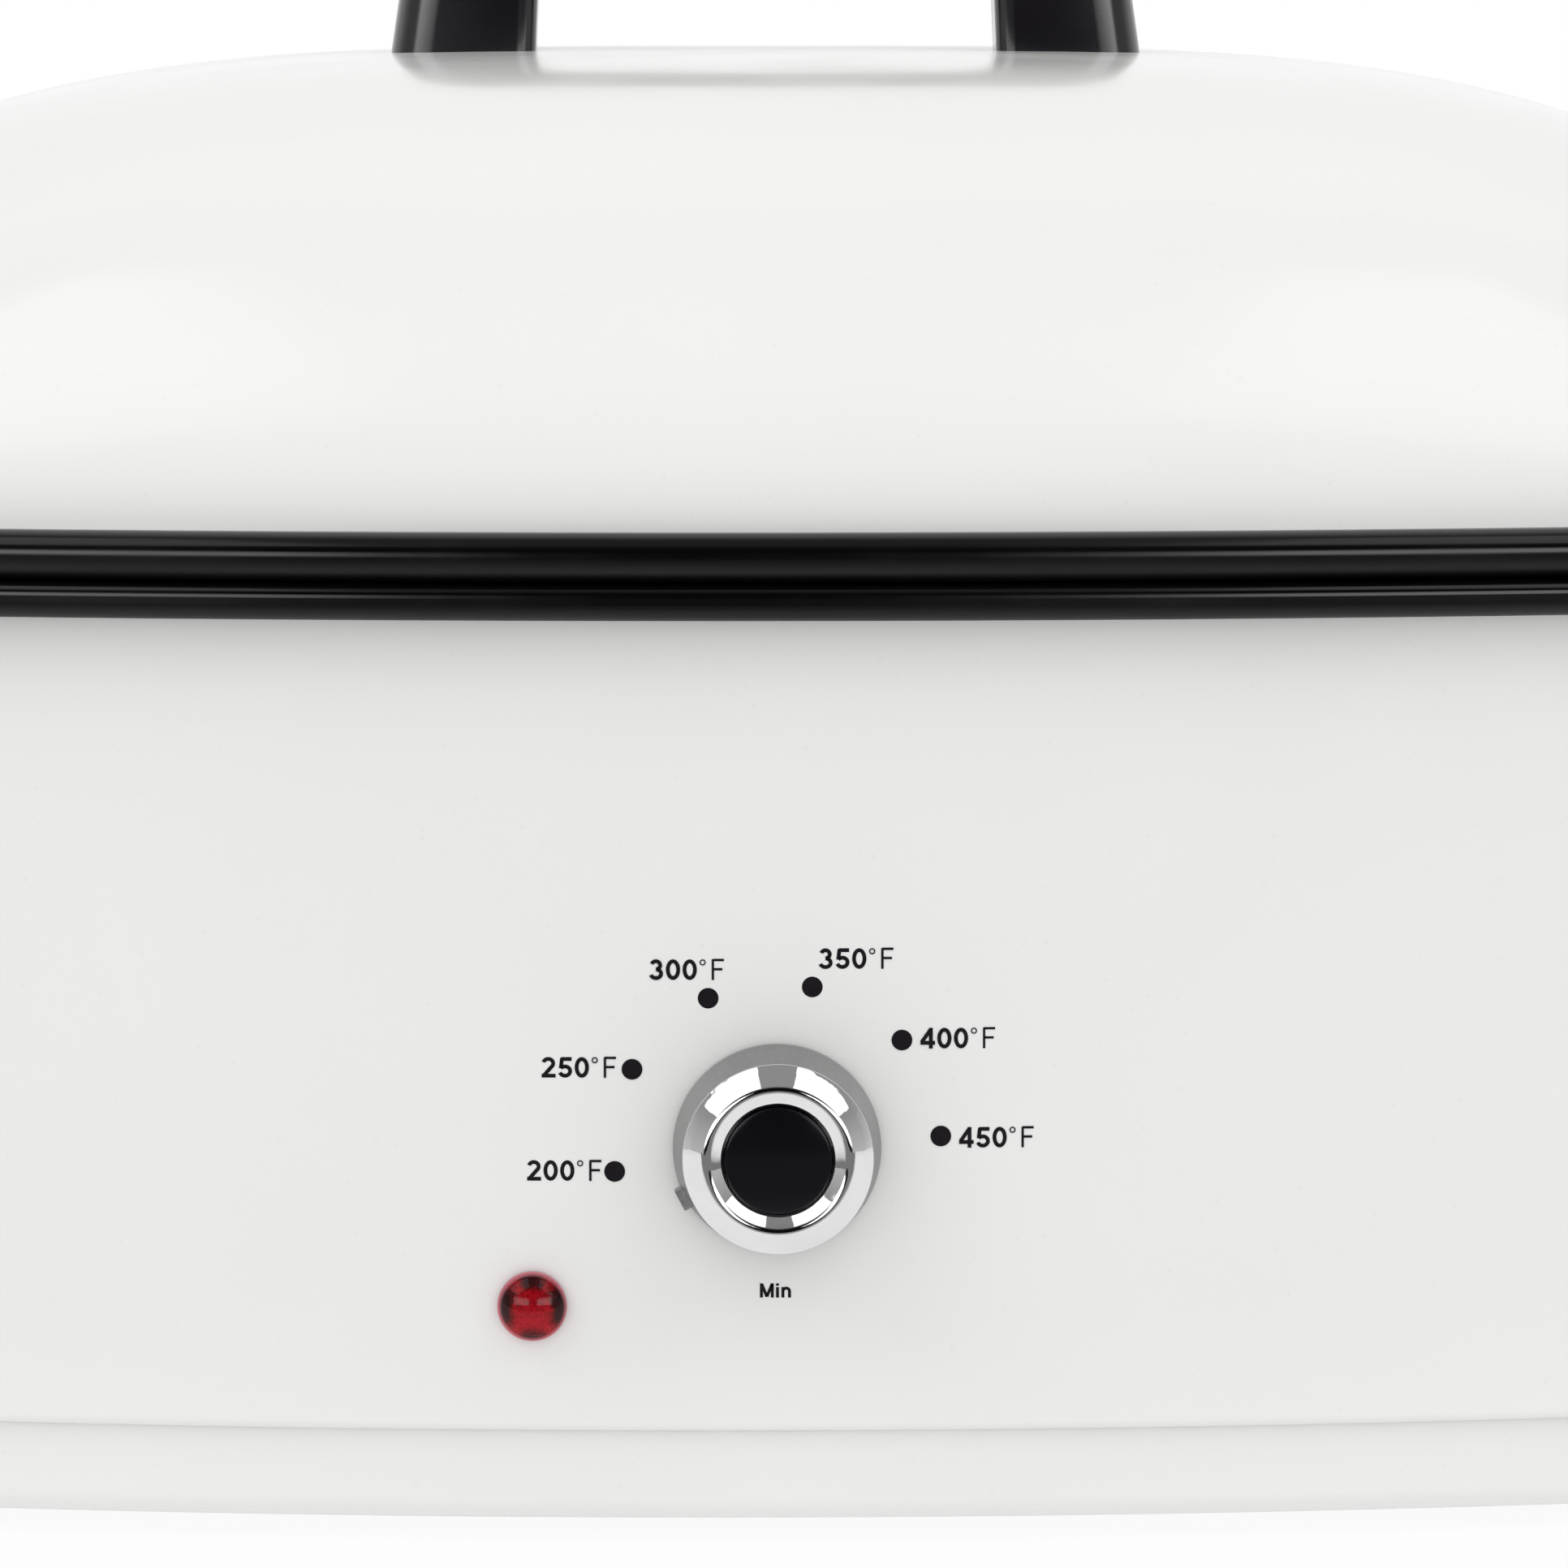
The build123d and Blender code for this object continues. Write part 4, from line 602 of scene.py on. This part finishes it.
def welds_tree():
    """Weld beads where the rack's cross wires lie on its outer wire."""
    tree, given = geometry_tree("rack_welds", [
        ("Bars", "NodeSocketInt", 15), ("Pitch", "NodeSocketFloat", 0.024),
        ("Height", "NodeSocketFloat", 0.05005), ("Bead", "NodeSocketFloat", 0.00155)])
    index = tree.node("GeometryNodeInputIndex")
    bar = (index / 2.0).math("FLOOR")
    side = (index - bar * 2.0) * 2.0 - 1.0
    x = (bar - (given["Bars"] - 1.0) / 2.0) * given["Pitch"]
    y = ((RACK_RADIUS**2 - x * x) ** 0.5 - SIDE_CENTRE) * side
    place = tree.node("ShaderNodeCombineXYZ", {0: x, 1: y, 2: given["Height"]})
    points = tree.node("GeometryNodePoints", {"Count": given["Bars"] * 2.0, "Position": place})
    ball = tree.node("GeometryNodeMeshUVSphere", {"Segments": 12, "Rings": 8, "Radius": given["Bead"]})
    flattened = tree.node("ShaderNodeCombineXYZ", {0: 1.5, 1: 1.25, 2: 0.8})
    shaped = {"Points": points, "Instance": ball, "Scale": flattened}
    beads = tree.node("GeometryNodeInstanceOnPoints", shaped)
    end_tree(tree, beads, given["Material"])
    return tree


def bow(x, y, wide, tall, start, end, steps=20):
    """Points along an arc of an ellipse, in degrees."""
    turns = [math.radians(start + (end - start) * i / steps) for i in range(steps + 1)]
    return [(x + wide * math.cos(t), y + tall * math.sin(t)) for t in turns]


# Middle lines of the printed characters' strokes, with the height of a capital as 1.
STROKES = {
    "0": [bow(0.35, 0.5, 0.25, 0.405, 0, 360, 40)],
    "2": [bow(0.34, 0.69, 0.235, 0.215, 165, -32) + [(0.13, 0.11)], [(0.02, 0.095), (0.69, 0.095)]],
    "3": [bow(0.33, 0.71, 0.205, 0.195, 162, -90), bow(0.33, 0.3, 0.25, 0.21, 90, -164)],
    "4": [[(0.5, 0.0), (0.5, 1.0)], [(0.5, 0.94), (0.06, 0.31)], [(0.0, 0.275), (0.7, 0.275)]],
    "5": [[(0.66, 0.905), (0.16, 0.905)], [(0.2, 0.95), (0.14, 0.45)],
          bow(0.34, 0.32, 0.25, 0.225, 142, -162)],
    "F": [[(0.04, 0.0), (0.04, 1.0)], [(0.04, 0.965), (0.57, 0.965)], [(0.04, 0.52), (0.5, 0.52)]],
    "°": [bow(0.15, 0.85, 0.12, 0.12, 0, 360, 28)],
    "M": [[(0.1, 0.0), (0.1, 1.0)], [(0.12, 0.95), (0.48, 0.06)], [(0.48, 0.06), (0.84, 0.95)],
          [(0.86, 0.0), (0.86, 1.0)]],
    "i": [[(0.1, 0.0), (0.1, 0.74)], [(0.1, 0.84), (0.1, 1.0)]],
    "n": [[(0.1, 0.0), (0.1, 0.74)], bow(0.33, 0.45, 0.23, 0.21, 180, 0) + [(0.56, 0.0)]],
}
# How far each character moves on to the next.
ADVANCE = {"0": 0.8, "2": 0.8, "3": 0.8, "4": 0.8, "5": 0.8, "F": 0.62, "°": 0.36, "M": 1.12,
           "i": 0.38, "n": 0.7}


def ribbon(form, points, width, on_wall):
    """Adds a flat stroke of even width to a bmesh, closed if its line ends where it starts."""
    closed = math.dist(points[0], points[-1]) < 1e-6
    if closed:
        points = points[:-1]
    rows = []
    for i, (x, y) in enumerate(points):
        before = points[i - 1] if i or closed else (x, y)
        after = points[(i + 1) % len(points)] if i + 1 < len(points) or closed else (x, y)
        into, out = Vector((x - before[0], y - before[1])), Vector((after[0] - x, after[1] - y))
        into, out = (into if into.length else out).normalized(), (out if out.length else into).normalized()
        across = Vector((-(into + out).y, (into + out).x)).normalized()
        reach = width / 2 / max(0.5, across.dot(Vector((-out.y, out.x))))
        corners = [(-reach, 1), (reach, 1), (reach, 0), (-reach, 0)]
        places = [on_wall(x + across.x * r, y + across.y * r, face) for r, face in corners]
        rows.append([form.verts.new(place) for place in places])
    for near, far in zip(rows, rows[1:] + rows[:1] if closed else rows[1:]):
        for i in range(4):
            form.faces.new((near[i], near[(i + 1) % 4], far[(i + 1) % 4], far[i]))
    if not closed:
        form.faces.new(rows[0])
        form.faces.new(rows[-1])


def print_text(form, text, x, z, tall, weight):
    """Adds printed characters to a bmesh, from their lower left corner on the front wall, in metres."""
    for letter in text:
        def on_wall(across, up, face, start=x):
            px = start + across * tall
            return px, wall_y(px, INK_PROUD * face), z + up * tall
        for stroke in STROKES[letter]:
            ribbon(form, stroke, weight, on_wall)
        x += ADVANCE[letter] * tall


# ------------------------------------------------------------------ settings
class RoasterSettings(bpy.types.PropertyGroup):
    """Sizes and colours a user may want to change."""

    enamel: bpy.props.FloatVectorProperty(
        name="Enamel", description="Colour of the body and lid", subtype="COLOR", size=3,
        min=0.0, max=1.0, default=(0.85, 0.85, 0.84))
    rim: bpy.props.FloatVectorProperty(
        name="Rim", description="Colour of the cookwell and its trim", subtype="COLOR", size=3,
        min=0.0, max=1.0, default=(0.0019, 0.0015, 0.0017))
    handle: bpy.props.FloatVectorProperty(
        name="Handles", description="Colour of the handles", subtype="COLOR", size=3,
        min=0.0, max=1.0, default=(0.008, 0.007, 0.009))
    silver: bpy.props.FloatVectorProperty(
        name="Knob", description="Colour of the knob's silver lacquer", subtype="COLOR", size=3,
        min=0.0, max=1.0, default=(0.3, 0.3, 0.3))
    print_colour: bpy.props.FloatVectorProperty(
        name="Print", description="Colour of the dial's print", subtype="COLOR", size=3,
        min=0.0, max=1.0, default=(0.005, 0.003, 0.005))
    digit_height: bpy.props.FloatProperty(
        name="Digit Height", description="Height of the dial's digits", unit="LENGTH",
        min=0.001, max=0.01, default=0.0038)
    dot_radius: bpy.props.FloatProperty(
        name="Dot Radius", description="Radius of the dial's dots", unit="LENGTH",
        min=0.0005, max=0.005, default=0.0019)
    ring_radius: bpy.props.FloatProperty(
        name="Dot Circle", description="Radius of the circle that the dots lie on", unit="LENGTH",
        min=0.022, max=0.05, default=0.03)
    key_power: bpy.props.FloatProperty(
        name="Key Light", description="Power of each soft box", unit="POWER", min=0.0, max=500.0, default=3.3)
    sky: bpy.props.FloatProperty(
        name="Sky", description="Strength of the studio's own light", min=0.0, max=3.0, default=0.8)


def settings():
    return bpy.context.scene.roaster


# ------------------------------------------------------------------ operators
class ROASTER_OT_shells(bpy.types.Operator):
    """Enamels the body, its base and the lid"""

    bl_idname = "roaster.shells"
    bl_label = "Enamelled Shells"

    def execute(self, context):
        white = gloss_enamel("white_enamel_gloss", settings().enamel, grime=0.012, peel=0.0015,
                             rough=0.17, coat=0.1)
        dress(white, "body_front", "body_back", "base_pan", "lid_shell")
        dome = grow("lid_dome", lid_tree(), white, path=outline_loop(LID_INSET))
        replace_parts(new_piece("lid_dome", dome, "lid"), "lid_shell")
        return {"FINISHED"}


class ROASTER_OT_rim(bpy.types.Operator):
    """Gives the cookwell and its trim their black enamel"""

    bl_idname = "roaster.rim"
    bl_label = "Cookwell and Trim"

    def execute(self, context):
        black = gloss_enamel("black_enamel_gloss", settings().rim, grime=0.2, peel=0.004,
                             rough=0.14, coat=0.0, index=1.42, matt_under=0.3)
        dress(black, "cookwell", "rim_trim")
        return {"FINISHED"}


class ROASTER_OT_handles(bpy.types.Operator):
    """Finishes the lid's handle and the two side handles"""

    bl_idname = "roaster.handles"
    bl_label = "Handles"

    def execute(self, context):
        black = moulded("black_handle", settings().handle, rough=(0.12, 0.2), speck=0.15, depth=0.006,
                        Coat_Weight=0.4, Coat_Roughness=0.08)
        dress(black, "left_handle", "right_handle")
        arch = arched_handle()
        arch.materials.append(black)
        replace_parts(new_piece("lid_arch", arch, "lid"), "lid_handle")
        return {"FINISHED"}


class ROASTER_OT_knob(bpy.types.Operator):
    """Finishes the knob's skirt, chrome ring and cap"""

    bl_idname = "roaster.knob"
    bl_label = "Knob"

    def execute(self, context):
        dress(silver_paint("silver_lacquer", settings().silver), "knob_skirt")
        gloss = moulded("black_cap", (0.004, 0.004, 0.006), rough=(0.08, 0.14), speck=0.1,
                        depth=0.003, IOR=1.33)
        shape = cap_profile(radius=9.7 * MM, bottom=17.6 * MM, edge=19.6 * MM, crown=20.2 * MM)
        button = turned("knob_button", shape)
        button.materials.append(gloss)
        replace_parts(new_piece("knob_button", button, "knob"), "knob_cap")
        shape = bezel_profile(lip=17.3 * MM, crest=13.1 * MM, hole=9.85 * MM)
        bezel = turned("knob_bezel", shape)
        bezel.materials.append(mirror_plate("bright_chrome", (0.84, 0.84, 0.85)))
        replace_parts(new_piece("knob_bezel", bezel, "knob"), "knob_ring")
        return {"FINISHED"}


class ROASTER_OT_lamp(bpy.types.Operator):
    """Finishes the indicator's lens and lamp"""

    bl_idname = "roaster.lamp"
    bl_label = "Indicator"

    def execute(self, context):
        dress(faceted_red("faceted_red", (0.45, 0.01, 0.03)), "indicator_lens")
        dress(clear_glass("lamp_glass", (0.9, 0.9, 0.9)), "neon_lamp")
        return {"FINISHED"}


class ROASTER_OT_dial(bpy.types.Operator):
    """Prints the dots, the temperatures and the word Min round the knob"""

    bl_idname = "roaster.dial"
    bl_label = "Dial Print"

    # Left edge and foot of each label in millimetres, in the plane of the front wall.
    LABELS = [("200", -45.7, 67.4), ("250", -43.0, 86.4), ("300", -23.3, 104.4), ("350", 7.6, 106.4),
              ("400", 26.2, 91.7), ("450", 33.3, 73.4)]
    LOWEST_LABEL = ("Min", -3.1, 45.9)

    # Shares of a digit's height: widths of strokes, the word's height, and places along a label.
    DIGIT_STROKE, LETTER_STROKE, DEGREE_STROKE = 0.185, 0.115, 0.06
    WORD_STROKE, WORD_HEIGHT = 0.21, 0.69
    DEGREE_PLACE, LETTER_PLACE = 2.42, 3.02

    def execute(self, context):
        style = settings()
        black = ink("dial_ink", style.print_colour)
        sizes = {"Dot Radius": style.dot_radius, "Ring Radius": style.ring_radius}
        dots = grow("dial_dots", dots_tree(), black, sizes)
        new_piece("dial_dots", dots, "body")
        tall = style.digit_height
        degree, letter = tall * self.DEGREE_PLACE, tall * self.LETTER_PLACE
        printed = bmesh.new()
        for digits, x, z in self.LABELS:
            print_text(printed, digits, x * MM, z * MM, tall, self.DIGIT_STROKE)
            print_text(printed, "°", x * MM + degree, z * MM, tall, self.DEGREE_STROKE)
            print_text(printed, "F", x * MM + letter, z * MM, tall, self.LETTER_STROKE)
        word, x, z = self.LOWEST_LABEL
        print_text(printed, word, x * MM, z * MM, tall * self.WORD_HEIGHT, self.WORD_STROKE)
        numbers = finished(printed, "dial_numbers")
        numbers.materials.append(black)
        new_piece("dial_numbers", numbers, "body")
        return {"FINISHED"}


class ROASTER_OT_rack(bpy.types.Operator):
    """Finishes the wire rack and adds its weld beads"""

    bl_idname = "roaster.rack"
    bl_label = "Roasting Rack"

    def execute(self, context):
        wire = metal("chromed_wire", (0.8, 0.8, 0.8), rough=(0.1, 0.2), brush=(300.0, 300.0, 300.0),
                     dull=0.85)
        dress(wire, "rack_ring", "rack_bars", "rack_runners", "rack_handles")
        new_piece("rack_welds", grow("rack_welds", welds_tree(), wire), "rack")
        return {"FINISHED"}


class ROASTER_OT_inside(bpy.types.Operator):
    """Finishes everything under the skin, from the liner to the wiring and the feet"""

    bl_idname = "roaster.inside"
    bl_label = "Inside and Underneath"

    def execute(self, context):
        dress(metal("aluminised_sheet", (0.62, 0.63, 0.64), rough=(0.3, 0.45), spangle=0.35),
              "liner_well", "liner_brackets")
        dress(metal("zinc_plate", (0.6, 0.6, 0.57), rough=(0.22, 0.36), brush=(500.0, 500.0, 500.0)),
              "lid_handle_screws", "lid_handle_washers", "thermostat_shaft", "thermostat_plate",
              "thermostat_screws", "lens_push_nut", "heater_terminals", "clamp_screw", "clamp_nut",
              "sensor_clips", "foot_screws", "side_handle_screws")
        dress(metal("steel_clad", (0.42, 0.4, 0.37), rough=(0.35, 0.5), dull=0.6), "heater_band")
        dress(metal("plain_brass", (0.76, 0.58, 0.28), rough=(0.2, 0.34), dull=0.7), "thermostat_tabs",
              "terminal_screws")
        dress(metal("drawn_copper", (0.7, 0.36, 0.22), rough=(0.22, 0.38), dull=0.65), "sensor_bulb",
              "capillary_tube")
        dress(metal("rolled_aluminium", (0.8, 0.81, 0.82), rough=(0.18, 0.3), brush=(12.0, 700.0, 700.0)),
              "bottom_reflector")
        dress(moulded("brown_moulding", (0.11, 0.05, 0.03), rough=(0.35, 0.5)), "thermostat_body")
        dress(moulded("glazed_steatite", (0.76, 0.74, 0.68), rough=(0.2, 0.32), speck=0.05), "terminal_block")
        dress(moulded("black_rubber", (0.012, 0.012, 0.012), rough=(0.6, 0.8), depth=0.03), "rubber_feet")
        dress(moulded("black_nylon", (0.014, 0.014, 0.015), rough=(0.4, 0.55)), "cord_gland", "gland_locknut")
        dress(woven("felted_fibre", (0.72, 0.66, 0.45), pitch=3.2), "insulation_left", "insulation_right",
              "floor_insulation")
        dress(woven("braided_sleeve", (0.62, 0.6, 0.5), pitch=0.9, rough=0.75), "lamp_leads", "supply_lead",
              "heater_leads")
        return {"FINISHED"}


class ROASTER_OT_stage(bpy.types.Operator):
    """Sets up the pale studio, its soft boxes and the camera"""

    bl_idname = "roaster.stage"
    bl_label = "Studio"

    # The floor's half width, its front edge and its back edge, in metres, and where it dims in gloss.
    FLOOR = (4.0, -0.95, 7.0)
    DIMMING = (-0.28, -0.42)

    # Each soft box stands square to a line that rises sideways from the knob's axis.
    BOX_SIZE = (1.1, 0.9)
    BOX_REACH = 1.3
    BOX_RISE = math.radians(53)
    BOX_DEPTH = -0.68

    # The camera's place, its tilt down and its turn to the right, and its focal length in millimetres.
    EYE = (-0.020, -1.848, 0.3077)
    TILT = math.radians(5.76)
    TURN = 0.01283
    FOCUS = 210.6

    def execute(self, context):
        self.floor()
        self.sky()
        for side in (-1, 1):
            self.soft_box(side)
        self.camera()
        return {"FINISHED"}

    def floor(self):
        """A pale table that ends in front, and that gloss surfaces mirror dimly there."""
        wide, front, back = self.FLOOR
        corners = [(-wide, front, 0.0), (wide, front, 0.0), (wide, back, 0.0), (-wide, back, 0.0)]
        mesh = bpy.data.meshes.new("studio_floor")
        mesh.from_pydata(corners, [], [(0, 1, 2, 3)])
        floor = bpy.data.objects.new("studio_floor", mesh)
        bpy.context.scene.collection.objects.link(floor)
        material, tree = new_material("pale_floor", (0.9, 0.9, 0.9))
        cloud = tree.noise(1.5, 2.0)
        base = tree.mix(cloud, rgba((0.9, 0.9, 0.9)), rgba((0.88, 0.88, 0.88)))
        matt = tree.node("ShaderNodeBsdfDiffuse", {"Color": base})
        white = tree.node("ShaderNodeEmission", {"Strength": 1.0})
        dark = tree.node("ShaderNodeBsdfDiffuse", {"Color": rgba((0.0, 0.0, 0.0))})
        seen = tree.node("ShaderNodeLightPath", out="Is Camera Ray")
        ahead = tree.axes(tree.place())[1].band(*self.DIMMING)
        table = tree.node("ShaderNodeMixShader", {0: 0.5 + seen * 0.4, 1: matt, 2: white})
        mirrored = seen.output("Is Glossy Ray") * ahead * 0.77
        both = tree.node("ShaderNodeMixShader", {0: mirrored, 1: table, 2: dark})
        tree.node("ShaderNodeOutputMaterial", {"Surface": both})
        mesh.materials.append(material)

    def sky(self):
        """Even light for matt surfaces; gloss mirrors a dark front, two bright panels and a pale room."""
        world = bpy.data.worlds.new("studio")
        bpy.context.scene.world = world
        world.use_nodes = True
        world.node_tree.nodes.clear()
        tree = Tree(world.node_tree)
        x, y, z = tree.axes(tree.node("ShaderNodeTexCoord", out="Generated"))
        behind = y.band(0.0, 0.4)
        beside = y.band(-0.78, -0.44, 0.01, 1.0)
        room = 0.3 + z.band(0.5, -0.1, 0.0, 0.25)
        aside = x.math("ABSOLUTE")
        panel = aside.band(0.16, 0.26) * aside.band(0.86, 0.78) * y.band(-0.44, -0.52)
        panel = panel * z.band(0.0, 0.1) * z.band(0.42, 0.3)
        mirrored = room * beside + (1.0 - room) * behind + panel * 4.0
        seen = tree.node("ShaderNodeLightPath", out="Is Camera Ray")
        gloss = seen.output("Is Glossy Ray")
        fill = settings().sky * (0.8 + y.band(0.0, -1.0, 0.0, 0.5))
        light = mirrored * gloss + fill * (1.0 - gloss)
        strength = light * (1.0 - seen) + seen
        glow = tree.node("ShaderNodeBackground", {"Color": (1.0, 1.0, 1.0, 1.0), "Strength": strength})
        tree.node("ShaderNodeOutputWorld", {"Surface": glow})

    def soft_box(self, side):
        """One large soft box, high at a side of the oven and turned to the knob's axis."""
        light = bpy.data.lights.new("soft_box", "AREA")
        light.shape = "RECTANGLE"
        light.size, light.size_y = self.BOX_SIZE
        light.energy = settings().key_power
        box = bpy.data.objects.new("soft_box", light)
        aside = self.BOX_REACH * math.cos(self.BOX_RISE)
        above = self.BOX_REACH * math.sin(self.BOX_RISE)
        box.location = (side * aside, self.BOX_DEPTH, above + KNOB_HEIGHT)
        box.rotation_euler = (0.0, side * (math.pi / 2 - self.BOX_RISE), 0.0)
        bpy.context.scene.collection.objects.link(box)

    def camera(self):
        lens = bpy.data.cameras.new("camera")
        lens.lens = self.FOCUS
        lens.sensor_width = 36.0
        lens.clip_end = 50.0
        camera = bpy.data.objects.new("camera", lens)
        camera.location = self.EYE
        camera.rotation_euler = (math.pi / 2 - self.TILT, 0.0, -self.TURN)
        bpy.context.scene.collection.objects.link(camera)
        bpy.context.scene.camera = camera
        bpy.context.scene.view_settings.view_transform = "Standard"


class ROASTER_PT_panel(bpy.types.Panel):
    """Lists the oven's settings and the steps that build its looks"""

    bl_label = "Roaster Oven"
    bl_idname = "ROASTER_PT_panel"
    bl_space_type = "VIEW_3D"
    bl_region_type = "UI"
    bl_category = "Roaster"

    def draw(self, context):
        column = self.layout.column()
        for name in RoasterSettings.__annotations__:
            column.prop(context.scene.roaster, name)
        for step in STEPS:
            column.operator(step.bl_idname)


STEPS = [ROASTER_OT_shells, ROASTER_OT_rim, ROASTER_OT_handles, ROASTER_OT_knob, ROASTER_OT_lamp,
         ROASTER_OT_dial, ROASTER_OT_rack, ROASTER_OT_inside, ROASTER_OT_stage]
CLASSES = [RoasterSettings, *STEPS, ROASTER_PT_panel]


def register():
    for cls in CLASSES:
        bpy.utils.register_class(cls)
    bpy.types.Scene.roaster = bpy.props.PointerProperty(type=RoasterSettings)


def unregister():
    del bpy.types.Scene.roaster
    for cls in reversed(CLASSES):
        bpy.utils.unregister_class(cls)


def main():
    register()
    bpy.ops.roaster.shells()
    bpy.ops.roaster.rim()
    bpy.ops.roaster.handles()
    bpy.ops.roaster.knob()
    bpy.ops.roaster.lamp()
    bpy.ops.roaster.dial()
    bpy.ops.roaster.rack()
    bpy.ops.roaster.inside()
    bpy.ops.roaster.stage()
    bpy.context.view_layer.update()


if __name__ == "__main__":
    main()
